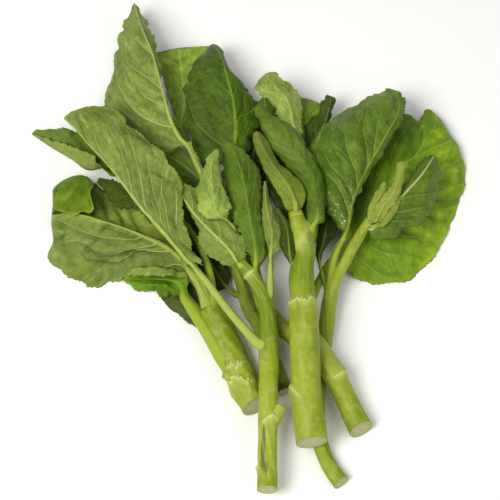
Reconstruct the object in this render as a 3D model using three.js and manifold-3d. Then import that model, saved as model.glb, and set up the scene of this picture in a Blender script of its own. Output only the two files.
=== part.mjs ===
// Chinese mustard greens: one loose bunch of freshly cut flowering stalks and leaves, lying flat
// on a table with the cut ends towards -Y and the leaf tips towards +Y.
// Millimetres, +Z up. The table top is the plane z = 0.
//
// Every stalk is a tube lofted along a smooth curve. Every leaf is one loft: round sections along its
// petiole, then thin blade sections over rows of points (one row per station along the midrib, each
// running from the left edge over the midrib to the right edge).
// A piece laid later is cut back where it would run into one laid earlier.

import * as THREE from "three";
import { mergeVertices } from "three/addons/utils/BufferGeometryUtils.js";
import Module from "manifold-3d";

const wasm = await Module();
wasm.setup();

// ---- driving dimensions (mm) ----

const BLADE_THICKNESS = 1.1; // of a leaf beside its midrib
const THINNEST_SHARE = 0.1; // half thickness over half width, where a leaf is narrow
const MIDRIB_END_RADIUS = 0.8; // half thickness of the midrib at the leaf's tip
const GAP = 0.3; // clear space kept between two pieces that touch
const TIP_REACH = 0.3; // how far the tip lies past the last row, as a share of the last spacing
const LEAF_PLACES = [ // facet edges across a leaf with 1, 2 or 3 points beside its midrib, 0 = midrib
  [-1, -0.25, 0, 0.25, 1],
  [-1, -0.5, -0.15, 0, 0.15, 0.5, 1],
  [-1, -0.67, -0.33, -0.1, 0, 0.1, 0.33, 0.67, 1],
];
const ROWS_PER_STATION = 1.3; // facet rows per row of a leaf's points
const STALK_SIDES = 12;
const STALK_STEP = 12; // length of one facet ring along a stalk
const SIMPLIFY_TO = 0.05; // facets flatter than this are merged after cutting
const BUNCH_ORIGIN = [0, 17.6, 0.185]; // point of the layout below that becomes x = y = z = 0

const COLOURS = {
  stalk: 0x9db04c,
  upper: 0x55792c,
  under: 0x8fa55a,
};

// ---- stalks: middle of the tube and its radius, from the cut end upwards ----

const STALKS = [
  // The thickest stalk, on top of the bunch, with a young side shoot forking off to the left.
  {
    name: "centre_stalk",
    path: [
      [36, -119, 20], [34.5, -104, 22.5], [33, -85, 25], [32.3, -58, 30], [31.6, -36, 31.5],
      [31, -21, 32], [31.7, -12.5, 32.2], [33.2, -6, 32.6], [33.4, 2, 33.2], [35.4, 7.6, 34.2],
      [36.7, 12.2, 35.2],
    ],
    radius: [9.4, 9.2, 8.7, 8.3, 8, 7.8, 7.2, 6.4, 6.3, 4.8, 3.6],
    branches: [
      {
        path: [[33, -4, 32.8], [31.4, 3, 34.2], [29.4, 11, 36.4], [27.7, 19, 38.2]],
        radius: [5.2, 5.2, 4.9, 4.5],
      },
    ],
  },
  // Thin stalk lying over the others at the front left.
  {
    name: "front_stalk",
    path: [
      [10, -146, 16], [10.2, -120, 18.5], [10.6, -98, 21.3], [11, -80, 22.5], [11.3, -62, 23.5],
      [10.8, -46, 24.5], [9.5, -36, 25.5], [6.5, -27, 26.5], [1, -18, 27.5], [-4, -12, 28.5],
      [-8, -7, 30],
    ],
    radius: [6.1, 5.5, 5.8, 5.8, 6, 5.3, 5, 4.4, 3.8, 3.6, 2.8],
  },
  // Thin stalk under the centre one, reaching furthest forward and carrying the right-hand leaves.
  {
    name: "back_stalk",
    path: [
      [53.5, -139.5, 5.2], [49, -133, 5.2], [45, -125.5, 5.2], [41.5, -114, 5.2], [40, -100, 5.2],
      [42, -75, 5.4], [44.5, -62, 6], [46, -50, 8], [48.5, -30, 12], [51, -18, 15], [56.5, -9, 17],
      [61.5, 0, 20], [67, 9, 24], [73, 18, 28],
    ],
    radius: [4.9, 4.8, 4.7, 4.7, 4.7, 4.7, 4.7, 4.7, 4.6, 4.4, 3.5, 3.3, 3.1, 2.8],
  },
  // Thick cut end at the right; it crosses under the centre and front stalks to the left.
  // Its side branch climbs behind the centre stalk.
  {
    name: "right_stalk",
    path: [
      [66, -108, 7.5], [59, -93, 9], [54, -83, 11.8], [49, -74, 15], [43.5, -65.5, 16.4],
      [38, -60, 16.2], [31, -55.5, 14.6], [20, -46, 11.8], [11, -35, 11], [5, -20, 13], [2, -6, 18],
    ],
    radius: [7.3, 6.9, 6.6, 6.4, 5.9, 5.6, 5.4, 5.2, 5, 4.4, 3.8],
    branches: [
      {
        path: [[50, -75, 14], [45, -66, 15.5], [40, -57, 16.8], [35, -48, 17], [31, -40, 16.5]],
        radius: [5.8, 5.2, 4.8, 4.2, 3.2],
      },
    ],
  },
  // Fat stalk at the left, cut off short above its highest leaf.
  {
    name: "left_stalk",
    path: [
      [3.5, -94, 9], [-1.5, -84, 9.2], [-7, -72, 9.8], [-12.5, -60, 11.3], [-18.5, -46, 12.8],
      [-23, -37.5, 14], [-25, -34, 14.5],
    ],
    radius: [8.8, 9, 9, 8.4, 7.8, 7, 6.4],
  },
  // Lowest stalk, lying on the table under the front one.
  {
    name: "under_stalk",
    path: [[21, -84, 4.7], [14, -62, 4.7], [6, -44, 4.8], [-2, -28, 5], [-6, -13, 6], [-10, 2, 9]],
    radius: [4.4, 4.3, 4.2, 4, 3.8, 3.4],
  },
];

// ---- leaves: petiole middle and radius from the stalk upwards, then rows from left edge to right ----
// rib is the place of the midrib in a row; faces says which side of the leaf is turned up.

const LEAVES = [
  // Young shoot at the right: its longest leaf.
  {
    name: "bud_leaf_long",
    faces: "under",
    petiole: [[72.3, 15.5, 27.8], [73.9, 17, 29.6]],
    radius: [2.4, 2, 1.6],
    rib: 1,
    rows: [
      [[74, 17.4, 31.5], [77, 16.7, 33], [80, 15.9, 31.5]],
      [[76, 24.7, 33], [80.5, 23.2, 35.5], [85, 21.5, 33.5]],
      [[81, 31.8, 34], [85, 29.3, 36.5], [89, 27.1, 34.5]],
      [[86, 38.1, 34.5], [89.5, 36.1, 37], [92.3, 34.4, 35]],
      [[89.8, 45.1, 34.5], [92, 44.3, 36.5], [94.8, 43.9, 35]],
      [[91, 53.3, 34], [93.5, 52.9, 35], [96.3, 53.8, 34]],
    ],
  },
  // Young shoot at the right: its left leaf.
  {
    name: "bud_leaf_left",
    faces: "under",
    petiole: [[70.5, 15, 27], [71, 17, 28.6]],
    radius: [1.6, 1.4, 1.1],
    rib: 1,
    rows: [
      [[71.3, 16.7, 29.5], [73.5, 16.2, 30.7], [75.6, 16.1, 29.6]],
      [[71.8, 23.8, 30.5], [75.5, 23, 32.3], [78.6, 22.6, 31]],
      [[75, 31.6, 31], [79, 30.7, 33], [82.2, 29.9, 31.5]],
      [[79.5, 38.9, 31.5], [82, 37.8, 32.8], [84.6, 36.8, 31.6]],
      [[82, 42.6, 31], [83.5, 41.8, 31.6], [85, 41.1, 31]],
    ],
  },
  // Young shoot at the right: its right leaf.
  {
    name: "bud_leaf_right",
    faces: "under",
    petiole: [[74.5, 13.8, 27.8], [77, 14, 29.6]],
    radius: [1.6, 1.4, 1.1],
    rib: 1,
    rows: [
      [[78.4, 14.6, 31], [80.3, 13.6, 32], [82, 12.9, 31]],
      [[82.3, 21, 32], [84.8, 18.7, 33.6], [87, 17.7, 32]],
      [[86.3, 26.9, 32.5], [88.8, 25.1, 34], [91, 24.4, 32.5]],
      [[90.3, 32.5, 32.5], [91.7, 31.7, 33.2], [93, 30.9, 32.6]],
    ],
  },
  // Large leaf at the front left, underside up, folded along its midrib.
  {
    name: "front_left_leaf",
    faces: "under",
    petiole: [
      [11.3, -62, 23.5], [5, -60, 25], [-3, -52, 26.5], [-14, -39, 28], [-26, -23, 30],
      [-36, -11, 32.5],
    ],
    radius: [3.6, 2.6, 1.9],
    moved: [2, -6, 0],
    rib: 1,
    rows: [
      [[-42.5, -7.5, 29.5], [-40, -3, 33], [-35, -5, 33], [-30, -7, 31]],
      [[-48, 10, 25], [-54, 13, 37], [-45, 9, 36], [-38, 6, 34]],
      [[-64, 30, 25], [-72, 33, 41], [-57, 28, 42], [-42, 24, 38]],
      [[-80, 50, 24], [-88, 54, 43], [-66, 49, 45], [-44, 43, 41]],
      [[-92, 64, 24], [-102, 70, 42], [-78, 67, 47], [-54, 62, 43]],
      [[-102, 76, 26], [-111, 82, 39], [-91, 82, 43], [-71, 79, 42]],
      [[-113, 87, 30], [-117, 90, 36], [-104, 92.5, 40], [-86.5, 94.3, 39]],
      [[-119.6, 92.1, 33.5], [-115.2, 94.3, 35.5], [-110, 95.9, 37], [-104, 97.4, 37.8]],
    ],
  },
  // Small leaf at the end of the front stalk.
  {
    name: "front_small_leaf",
    faces: "under",
    petiole: [[-5, -12.6, 29.8], [-7.2, -11, 31.5]],
    radius: [2.4, 2.2, 1.5],
    rib: 1,
    rows: [
      [[-13.5, -13.4, 31], [-8.2, -10.3, 33], [-4.5, -9.9, 32.5]],
      [[-21.5, -9, 30.5], [-11.6, -4.9, 34.5], [-2.2, -4.6, 31.5]],
      [[-28.8, -1.9, 30.5], [-17, 1, 35.5], [-2, 3.7, 32]],
      [[-32.2, 4.8, 30.5], [-22, 5.6, 37], [-8, 8, 33.5]],
      [[-31.2, 11.9, 31.5], [-28, 11.5, 38], [-15.5, 17.2, 35.5]],
      [[-36, 19, 33.5], [-34.5, 19, 38.5], [-24, 24.5, 36]],
      [[-41.5, 28.6, 34.5], [-40.5, 28.6, 38.3], [-31.5, 35, 36]],
      [[-46, 36.9, 35.5], [-45.2, 37.1, 37], [-40, 38.4, 36.8]],
    ],
  },
  // Small pale cupped leaf in the middle of the bunch.
  {
    name: "small_pale_leaf",
    faces: "under",
    petiole: [[-3.5, -2, 24], [-6.5, 6, 27.5], [-10.5, 12, 33.5], [-14.8, 14.2, 40]],
    radius: [1.6, 1.4, 1.1],
    rib: 1,
    rows: [
      [[-25, 14.1, 40.7], [-18.8, 14.7, 44.2], [-12.3, 18.2, 41.7]],
      [[-31.6, 20.6, 40.7], [-21, 20.2, 46.7], [-10, 21.4, 41.7]],
      [[-32.8, 27.6, 40.7], [-22.3, 26.6, 48.2], [-12.3, 27, 42.2]],
      [[-32.6, 35.1, 40.7], [-23, 33.4, 48.7], [-16.3, 33.8, 42.7]],
      [[-31.3, 41.8, 40.2], [-23.4, 40.1, 48.2], [-18.3, 40.9, 43.7]],
      [[-28.8, 49.7, 39.2], [-23.4, 47.4, 46.2], [-18.8, 48.8, 42.7]],
      [[-25.6, 56.6, 38.2], [-22.4, 54.9, 43.7], [-19.2, 55.7, 41.7]],
      [[-23.2, 60.3, 38.2], [-21, 59.9, 40.7], [-19.3, 60, 39.7]],
    ],
  },
  // Young folded leaf on the side shoot.
  {
    name: "sheath_leaf",
    faces: "under",
    petiole: [[28, 17.5, 38.4], [27.3, 20.5, 40]],
    radius: [4, 3, 1.6],
    rib: 1,
    rows: [
      [[23.5, 20, 39.9], [27.8, 19.5, 42.3], [32, 21.2, 39.3]],
      [[19.5, 26.1, 39.5], [26.8, 25.8, 43.5], [34, 29, 38.5]],
      [[15, 34.1, 39.5], [23.8, 33.5, 43.5], [32.5, 36.5, 38.5]],
      [[11, 42.1, 39.5], [19.2, 41.3, 43.5], [27.5, 44, 38.5]],
      [[7, 51.1, 39.5], [13.5, 49.5, 43.5], [20, 51.5, 38.5]],
      [[4, 59.1, 39.5], [9.5, 57.5, 43.5], [15, 59.5, 38.5]],
      [[1.5, 67, 39.7], [6, 66, 42.9], [10.5, 67.9, 38.9]],
      [[2, 71.9, 40.1], [4.5, 71.5, 41.7], [7, 72.5, 39.7]],
    ],
  },
  // Large dark leaf curling over from the top of the centre stalk.
  {
    name: "rolled_leaf",
    faces: "upper",
    petiole: [[36.9, 9.6, 36.2], [38.5, 11, 38.8]],
    radius: [3.2, 2.4, 1.4],
    rib: 2,
    rows: [
      [
        [35.5, 13.1, 36.5], [37.4, 13.5, 39.8], [40.4, 13.8, 41.5], [43.4, 13.3, 40.2],
        [45.4, 13.4, 36],
      ],
      [[34.6, 21.6, 34.7], [37, 21, 39.9], [40.8, 20.8, 42.7], [44.4, 21.1, 40.7], [46.8, 22.4, 33.9]],
      [[33.2, 32, 33.5], [35.8, 30.9, 40], [39.8, 31, 43.5], [43.6, 32, 41], [46.2, 34.5, 32.5]],
      [[30.6, 41.5, 33.5], [33.6, 40.9, 40], [38, 41.5, 43.5], [42.4, 43, 41], [45, 46, 32.5]],
      [[25.4, 50.5, 33.5], [28.6, 49.9, 40], [33.4, 51, 43.5], [38.4, 52.5, 41], [41.4, 55.5, 32.5]],
      [[17.8, 58, 33.5], [21.4, 57.7, 40], [26.8, 59, 43.5], [33.4, 61.8, 41], [37.4, 65.5, 32.5]],
      [[12, 65.5, 33.5], [15.2, 64.7, 40], [20.4, 66.3, 43.5], [27.2, 70, 41], [31.6, 74.8, 32.5]],
      [
        [8.2, 74.1, 34.7], [10.4, 73.3, 39.9], [14.2, 74.3, 42.7], [19.4, 77.8, 40.7],
        [22.8, 81.9, 33.9],
      ],
      [[5, 82.8, 36.5], [6.2, 82.2, 39.8], [8.4, 82.9, 41.5], [11.4, 85.4, 40.2], [13.6, 88.3, 36]],
      [[3.4, 89.1, 38.3], [4, 88.9, 39.6], [5, 89.4, 40.3], [6.4, 90.8, 39.8], [7.4, 92.3, 38.1]],
    ],
  },
  // Narrow pale leaf on the right fork of the front stalk.
  {
    name: "front_curled_leaf",
    faces: "under",
    petiole: [[9.5, -37, 25.3], [12, -29, 27], [12.2, -18, 30], [12.6, -7, 34.5]],
    radius: [2.8, 2.2, 1.2],
    rib: 1,
    rows: [
      [[9.2, 3.2, 35.8], [13.2, -0.9, 38.4], [17.8, -4.7, 35.2]],
      [[7.3, 9, 36], [13, 5.9, 40], [19.8, 4.4, 35]],
      [[7, 18.5, 36], [11.2, 15.9, 40], [16.6, 14.4, 35]],
      [[7.2, 27.5, 36.1], [9.8, 25.2, 39.3], [13.6, 23.8, 35.3]],
      [[7.8, 34.5, 36.1], [9.4, 32.8, 39], [11.6, 32.2, 35.5]],
      [[8.3, 39.4, 36.3], [9.4, 39.1, 37.9], [10.4, 39.6, 35.9]],
    ],
  },
  // Narrow dark leaf rising beside the centre stalk, on its left.
  {
    name: "dark_hanging_leaf",
    faces: "upper",
    petiole: [[28.5, -19, 34.5], [26.8, -15, 35.5]],
    radius: [1.6, 1.4, 1.1],
    rib: 1,
    rows: [
      [[22.4, -11.4, 35.4], [24.6, -11.9, 37], [26.4, -10.6, 36.4]],
      [[19.6, -5, 36], [23.6, -5.1, 38], [26.8, -4.4, 37]],
      [[18.8, 5.3, 36.5], [22.8, 5.4, 38.4], [26.4, 6.1, 37.2]],
      [[17.6, 14.8, 36.5], [20.6, 14.2, 38], [24.2, 14.1, 37]],
      [[15.2, 20.6, 36.5], [16.8, 21, 37.4], [18.8, 21.6, 36.8]],
    ],
  },
  // Smooth upright leaf in the middle, its upper side up.
  {
    name: "centre_leaf",
    faces: "upper",
    petiole: [[4, -18, 15.5], [3.4, -17.2, 21], [3.2, -15.5, 27], [3.3, -13, 32.5]],
    radius: [3, 2.2, 1.6],
    rib: 1,
    rows: [
      [[-0.5, -6.8, 33], [3.5, -10.1, 35], [8.6, -7.8, 33]],
      [[-3.2, 0.5, 33.5], [3, -0.3, 38], [9.4, 0.2, 33]],
      [[-8.8, 13.8, 34], [0.5, 11.3, 41.5], [7.4, 13.1, 34.5]],
      [[-11, 25.3, 34], [-1.5, 23.7, 43], [6.5, 27.1, 34.5]],
      [[-15.6, 37.8, 34], [-3.5, 35.5, 43.5], [7.6, 40.1, 34.5]],
      [[-17.6, 48, 33.5], [-6, 47.2, 43], [4.8, 52.6, 34.5]],
      [[-16.9, 59, 32.5], [-10, 58.8, 39], [-1.5, 61.3, 34]],
      [[-16.2, 67.2, 32], [-13, 66.9, 35], [-9.5, 67.3, 33.5]],
    ],
  },
  // Broad round leaf at the upper right.
  {
    name: "right_leaf",
    faces: "upper",
    petiole: [[49, -21, 14.5], [50.5, -8, 17.5], [53, 0, 21.5], [56, 5, 26.8]],
    radius: [2.9, 2.5, 1.6],
    rib: 2,
    rows: [
      [[57.6, 9.8, 30], [58.3, 8.8, 31.5], [59.2, 9.1, 31.2], [60.2, 11, 29.8]],
      [[47.4, 21.6, 31], [53.5, 21.1, 37], [62.4, 25.3, 34], [64.2, 28.6, 30.8]],
      [[44.8, 36.6, 31], [55, 35.9, 40], [67, 38.4, 35], [69.2, 40.1, 31]],
      [[40, 50, 30], [55, 49.1, 42], [72.5, 49.6, 37], [75.8, 51.5, 32.5]],
      [[38, 66, 30], [57, 64.1, 42], [79.5, 61.6, 39.5], [84.2, 63.3, 34]],
      [[46.5, 78.7, 29.5], [63, 76, 41], [85, 71.7, 40.5], [90.2, 74.9, 35]],
      [[60.5, 95.6, 28], [74, 90.1, 37], [90.5, 81.8, 39], [95.2, 85.6, 34.5]],
      [[74, 103.4, 25.5], [83, 99.7, 32], [94, 92.2, 35.5], [98, 95.2, 32]],
      [[86.5, 110.3, 23], [90, 107.9, 26], [93.8, 105.6, 28.5], [97, 105.8, 28]],
    ],
  },
  // Leaf lying in front of the largest one.
  {
    name: "right_small_leaf",
    faces: "upper",
    petiole: [[69, 14, 26], [72, 14.5, 27.5]],
    radius: [1.8, 1.6, 1.2],
    rib: 1,
    rows: [
      [[72, 14.2, 27], [73.5, 12.3, 28], [75, 10.7, 27], [75, 7.6, 25]],
      [[80, 23.7, 27], [81.5, 18.8, 30.5], [84, 13.8, 28], [86, 8.9, 24]],
      [[87, 33.2, 27], [89, 27.2, 32], [94, 20.6, 28.5], [98, 14.7, 22]],
      [[94.5, 41.7, 27], [96.5, 36, 32.5], [103, 28.6, 28.5], [108.5, 23.6, 21]],
      [[102, 51.1, 26], [104.5, 45.4, 31.5], [110, 38.8, 28], [114.8, 35.6, 21]],
      [[108, 59.4, 24], [110.5, 54.4, 29], [114.5, 49.6, 26], [117.5, 46.8, 20.5]],
      [[112.5, 65.4, 21.5], [115, 62.9, 24], [117.3, 59.7, 22], [119, 57, 20]],
    ],
  },
  // Pale ragged leaf at the top, underside up.
  {
    name: "top_pale_leaf",
    faces: "under",
    petiole: [[34, 1, 30], [36, 14, 27], [33, 40, 25.5], [30, 70, 28.5]],
    radius: [2.8, 2.4, 1.8],
    rib: 1,
    rows: [
      [[23.5, 76, 30], [28.5, 75.4, 31.5], [33, 77.8, 28]],
      [[18.5, 85, 30], [26.5, 84.7, 33], [33.2, 87.5, 27.5]],
      [[16.2, 93, 30], [25.5, 92.3, 34], [33.4, 95.7, 27]],
      [[11.5, 100, 30], [23, 99.8, 34], [32.4, 102.9, 26.5]],
      [[5, 105.4, 29.5], [18.5, 106, 33.5], [30.4, 108.7, 26.5]],
      [[1.6, 109.6, 29], [13, 112.5, 32.5], [26, 114.4, 26.5]],
      [[4.4, 115.3, 28], [11.5, 117.3, 30.5], [20, 119.2, 26.5]],
      [[9.2, 120.6, 27], [12.3, 121.4, 28], [17.2, 122.4, 26.5]],
    ],
  },
  // Small leaf tucked under the pale one.
  {
    name: "tucked_leaf",
    faces: "upper",
    petiole: [[32, -8, 29], [27, 8, 25], [21, 40, 22], [15, 78, 23.5]],
    radius: [1.8, 1.5, 1.1],
    rib: 1,
    rows: [
      [[9.5, 86.4, 24], [14, 85, 25], [18, 85.4, 24]],
      [[5, 93.2, 24.5], [10, 93.6, 26], [17.8, 94.9, 24]],
      [[3.8, 99.8, 24.3], [9.5, 100.2, 25.6], [16.5, 100.9, 24]],
      [[6, 104.9, 24], [9, 105.1, 24.8], [12.5, 104.9, 24]],
    ],
  },
  // Broad curly leaf at the lower left, underside up, resting on its lower edge.
  {
    name: "lower_left_leaf",
    faces: "under",
    petiole: [[-26, -34, 14.5], [-29, -24, 16], [-33, -17, 17.5]],
    radius: [4, 3.4, 2.6],
    rib: 3,
    rows: [
      [
        [-37, -15, 14], [-37.2, -13.5, 15.5], [-37.8, -11.5, 17.5], [-38.5, -9.5, 18.5],
        [-37, -7.5, 17.8], [-35, -5, 16.5], [-33, -2.5, 15],
      ],
      [
        [-50, -7, 13.5], [-50.3, -4.5, 16.5], [-50.8, -1.5, 20], [-51, 2.5, 21], [-49, 6.5, 18],
        [-46.5, 11, 14], [-44, 16, 10],
      ],
      [
        [-66, -5.5, 12.5], [-66, -1.5, 15], [-66, 3.5, 20], [-65, 9.5, 23], [-63.5, 14.5, 16],
        [-62, 20, 12], [-60, 28, 9],
      ],
      [
        [-83, -13, 5], [-82, -7.5, 8.5], [-81, 1.5, 20.5], [-80, 16, 24], [-78.5, 20.5, 15],
        [-77, 28, 12], [-76, 36, 11],
      ],
      [
        [-99, -15.5, 1], [-98, -6.25, 7.5], [-97, 2, 18], [-95, 21, 24], [-95, 29, 14],
        [-96, 41.5, 12], [-91.5, 48.5, 13],
      ],
      [
        [-104, -14.5, 1], [-103, -5.2, 7.5], [-102, 4, 17.3], [-100, 22.7, 23.6], [-101, 33.5, 12.5],
        [-103, 49.5, 14], [-97, 41, 24],
      ],
      [
        [-109, -12, 1], [-108, -3.9, 7.5], [-107, 6, 16.5], [-105, 24, 23], [-105, 38, 11.5],
        [-105, 53, 15.5], [-98.5, 26, 28.5],
      ],
      [
        [-119, -5, 1], [-118.5, 1.4, 8], [-116.5, 12, 15.5], [-113, 26, 20.5], [-113, 38, 12],
        [-114.5, 52, 15.5], [-109, 23.5, 27.5],
      ],
      [
        [-126, 5, 1], [-124.5, 11, 7], [-122.5, 19, 12], [-120, 27, 16], [-120, 34, 11.5],
        [-123, 45, 14], [-116.5, 26, 22],
      ],
      [
        [-127, 16, 2], [-126, 19, 7], [-125, 23, 10.5], [-123.5, 28, 13.5], [-123, 32, 12],
        [-123, 36, 14], [-120.5, 29, 18],
      ],
    ],
  },
  // Dark leaf at the end of the fat stalk's wide petiole, folded up like a trough.
  {
    name: "curled_leaf",
    faces: "upper",
    petiole: [
      [-9, -75, 10.5], [-16, -65.2, 13], [-21, -56.1, 14], [-27, -45.9, 13.5], [-33.3, -35.6, 12],
      [-39.6, -26, 9.8],
    ],
    radius: [4.5, 5.2, 5.2, 4.8, 4.5, 3.6],
    rib: 2,
    rows: [
      [
        [-44.5, -22.4, 5], [-44.8, -18.9, 7.5], [-44.5, -15.4, 7.5], [-39.5, -11.6, 14],
        [-39.2, -15.2, 15.5],
      ],
      [
        [-51.5, -23.3, 3.4], [-51.5, -16.3, 9.5], [-50.5, -11.9, 5], [-46.5, -9.2, 17.5],
        [-46.8, -14.4, 17],
      ],
      [
        [-58.5, -21.1, 2.8], [-59, -15.8, 9.5], [-58.5, -11.2, 4.5], [-55.5, -8, 18],
        [-56, -13.3, 16.8],
      ],
      [
        [-65, -18, 2.6], [-65.8, -15.2, 8.5], [-65.8, -11.2, 4.5], [-65, -7.6, 16.5],
        [-65, -13.1, 14.8],
      ],
      [
        [-71.5, -17.3, 2.6], [-72.3, -14.5, 6.5], [-72.4, -11.9, 4.5], [-72.5, -8, 13],
        [-72.6, -12.1, 11.8],
      ],
      [
        [-76.5, -13.9, 3], [-77, -13.1, 4.5], [-77.3, -11.9, 4.5], [-77.8, -9.4, 8],
        [-77.8, -11.4, 7.7],
      ],
    ],
  },
  // Dark leaf between the two large left ones.
  {
    name: "shaded_left_leaf",
    faces: "upper",
    petiole: [[-24, -31, 17], [-32, -14, 22], [-44, 2, 23.5], [-58, 17, 23], [-61, 21, 22.5]],
    radius: [2, 1.6, 1.2],
    rib: 1,
    rows: [
      [[-60, 18, 20], [-62, 24, 22], [-64, 30, 22]],
      [[-72, 30, 20.5], [-72, 36, 22], [-72, 42, 21]],
      [[-83, 30.8, 19.5], [-81, 41, 21], [-80, 48, 20]],
      [[-90, 39, 18], [-89, 45, 19.5], [-88, 51, 19]],
      [[-93.2, 45.5, 17], [-94.8, 48.4, 17.6], [-94.2, 51.6, 17.2]],
    ],
  },
  // Leaf whose half shows beyond the fold of the front left leaf.
  {
    name: "far_left_leaf",
    faces: "under",
    petiole: [[-22, -34, 18], [-25, -12, 22], [-35, 12, 19.5], [-55, 36, 18], [-72, 53, 20]],
    radius: [2.6, 2, 1.4],
    moved: [2, -3, 0],
    rib: 1,
    rows: [
      [[-79, 61, 24], [-83, 54, 23], [-86, 52, 27]],
      [[-90, 74, 24], [-93, 60, 23], [-95, 57, 30]],
      [[-102, 83, 24], [-104, 59, 22], [-103, 66, 31]],
      [[-114, 85, 25], [-114, 66, 22], [-113, 71, 29]],
      [[-126, 86, 26], [-127, 74, 22], [-125, 76.5, 27.5]],
      [[-135, 85, 25], [-137.5, 81, 23], [-136.5, 80.5, 26]],
    ],
  },
  // Tallest leaf, underside up, its midrib along the right side.
  {
    name: "top_left_leaf",
    faces: "under",
    petiole: [[-9, -3, 8], [-16, 18, 14], [-24, 38, 21], [-32, 54, 27], [-40, 69, 30.5]],
    radius: [3, 2.4, 2],
    rib: 2,
    rows: [
      [[-56, 66, 20], [-50, 68, 27], [-44, 73, 31], [-41.5, 74, 26]],
      [[-79, 75, 14], [-65, 79, 25], [-50, 85, 33], [-47.5, 85, 25]],
      [[-93, 92, 10], [-75, 95, 26], [-54, 99, 36], [-53, 99, 25]],
      [[-95, 112, 8], [-77, 114, 28], [-58, 114, 38], [-57, 114, 27]],
      [[-92, 130, 8], [-76, 131, 27], [-62, 129, 38], [-58.5, 129, 26]],
      [[-90, 150, 8], [-77, 149, 26], [-68, 145, 36], [-61.5, 145, 26]],
      [[-85, 165, 9], [-77, 164, 24], [-73, 161, 31], [-66.5, 160, 24]],
      [[-81.5, 174.5, 12], [-78.5, 176.5, 18], [-76.5, 177, 21], [-73, 174.5, 19]],
    ],
  },
  // Dark broad leaf at the top of the bunch.
  {
    name: "top_leaf",
    faces: "upper",
    petiole: [[3, -10, 16], [-4, 15, 17], [-8, 40, 19], [-10, 58, 22]],
    radius: [3, 2.4, 1.8],
    rib: 2,
    rows: [
      [[-28, 62, 18], [-20, 64, 22], [-10, 68, 24], [-5, 70, 22], [0, 72, 18]],
      [[-36, 75, 18], [-24, 78, 24], [-9, 83, 28], [-3, 84, 24], [4, 86, 18]],
      [[-41, 95, 18], [-27, 98, 26], [-10.5, 99, 31], [-3, 100, 26], [6, 103.3, 18]],
      [[-42, 112, 17], [-29, 114, 27], [-14, 114, 32], [-7, 112, 27], [-2.5, 112.3, 20]],
      [[-40, 124, 16], [-30, 127, 25], [-18, 130, 31], [-15, 126, 28], [-11, 120, 24]],
      [[-34, 137, 16], [-28, 139, 21], [-22, 141, 26], [-19, 139, 25], [-17.5, 134, 23]],
      [[-28, 147, 15], [-25, 147.5, 18], [-23.5, 147, 20], [-21, 145, 21], [-18.5, 141, 21]],
    ],
  },
  // Narrow folded leaf beside it.
  {
    name: "narrow_back_leaf",
    faces: "upper",
    petiole: [[35, -4, 29], [40, 12, 23], [40, 35, 20], [36, 60, 20.5]],
    radius: [2, 1.7, 1.2],
    rib: 1,
    rows: [
      [[35.5, 73.4, 19], [38, 71.4, 21.5], [39.5, 71.7, 19.5]],
      [[34, 83.2, 17], [42.5, 79.2, 22], [45.5, 80.2, 19.5]],
      [[38, 92.4, 16.5], [47.5, 88, 22.5], [50, 88.2, 19.5]],
      [[43, 100.6, 16], [50, 96.7, 22], [52.5, 95.9, 19]],
      [[47, 107.6, 16], [51.5, 104, 20], [54.5, 102.8, 18]],
      [[49, 111.1, 16], [52.3, 109.3, 17.5], [55.5, 106.7, 17]],
    ],
  },
  // Largest leaf, at the far right, resting on its lower edge.
  {
    name: "big_right_leaf",
    faces: "upper",
    petiole: [[32, -44, 31], [38, -28, 17], [43, -15, 12], [49, -3, 9.5], [56, 4, 10]],
    radius: [3, 2.6, 2],
    rib: 2,
    rows: [
      [[56, 14, 10], [58, 10, 11], [61, 7, 12], [62, 0, 9], [61, -6, 5]],
      [[60, 38, 10], [65, 30, 13], [72, 24, 15], [78, 7, 11], [75, -13, 1.2]],
      [[70, 62, 10], [76, 52, 15], [84, 41, 18], [96, 17, 13], [99, -10, 1]],
      [[82, 82, 10], [87, 70, 16], [95.6, 58, 20], [109, 33, 15], [117, 7, 1]],
      [[94.5, 103, 10], [97, 87, 15], [105.6, 67.6, 20], [118, 49, 14], [129, 31, 1]],
      [[102.5, 99.4, 11], [107, 92, 14], [113, 80, 18], [125, 65, 12], [138.2, 57, 1.4]],
      [[109.2, 95.6, 10.6], [113.6, 94.4, 13], [119, 89.9, 14], [128, 83, 10], [137, 76, 3]],
      [[113, 102, 9], [115.5, 103, 9.5], [118.5, 101.5, 9.5], [122, 98, 8.5], [127, 93, 5]],
    ],
  },
  // Bright leaf low down behind the pale one.
  {
    name: "back_bright_leaf",
    faces: "upper",
    petiole: [[33, -14, 29], [33, 4, 20], [32, 30, 13], [33, 60, 13.5]],
    radius: [2.4, 2, 1.4],
    rib: 1,
    rows: [
      [[28, 76, 14], [34, 78, 17], [39, 80, 15]],
      [[28, 90, 14], [35, 90, 18], [42, 91, 15]],
      [[28, 102, 13], [37, 101, 17], [46, 101, 14]],
      [[30, 111, 12], [38, 108.5, 14], [47, 104.5, 13]],
    ],
  },
  {
    name: "shade_leaf_right",
    faces: "upper",
    petiole: [[48.6, -29, 12.5], [45, -15, 15.2], [42.9, -6.5, 18.2]],
    radius: [1.5, 1.3, 1.1],
    rib: 1,
    rows: [
      [[40.6, -2.6, 19], [42.6, -2.5, 20], [44.6, -1.1, 19]],
      [[40.6, 6, 20], [45.2, 6.2, 22], [50.4, 8.4, 19]],
      [[41.2, 14.8, 20.5], [47, 15, 22.5], [54, 16.6, 18.5]],
      [[42.5, 24, 20], [48, 24.4, 21.5], [54.5, 24.8, 18]],
      [[44.5, 31.4, 19], [48.5, 32, 20], [52, 31.8, 18]],
    ],
  },
  // Hidden leaves that fill the dark middle of the bunch.
  {
    name: "shade_leaf_back",
    faces: "under",
    petiole: [[-10, -4, 8], [-19, 8, 8], [-24, 22, 10], [-20, 34, 12.5]],
    radius: [2, 1.7, 1.2],
    rib: 1,
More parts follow.
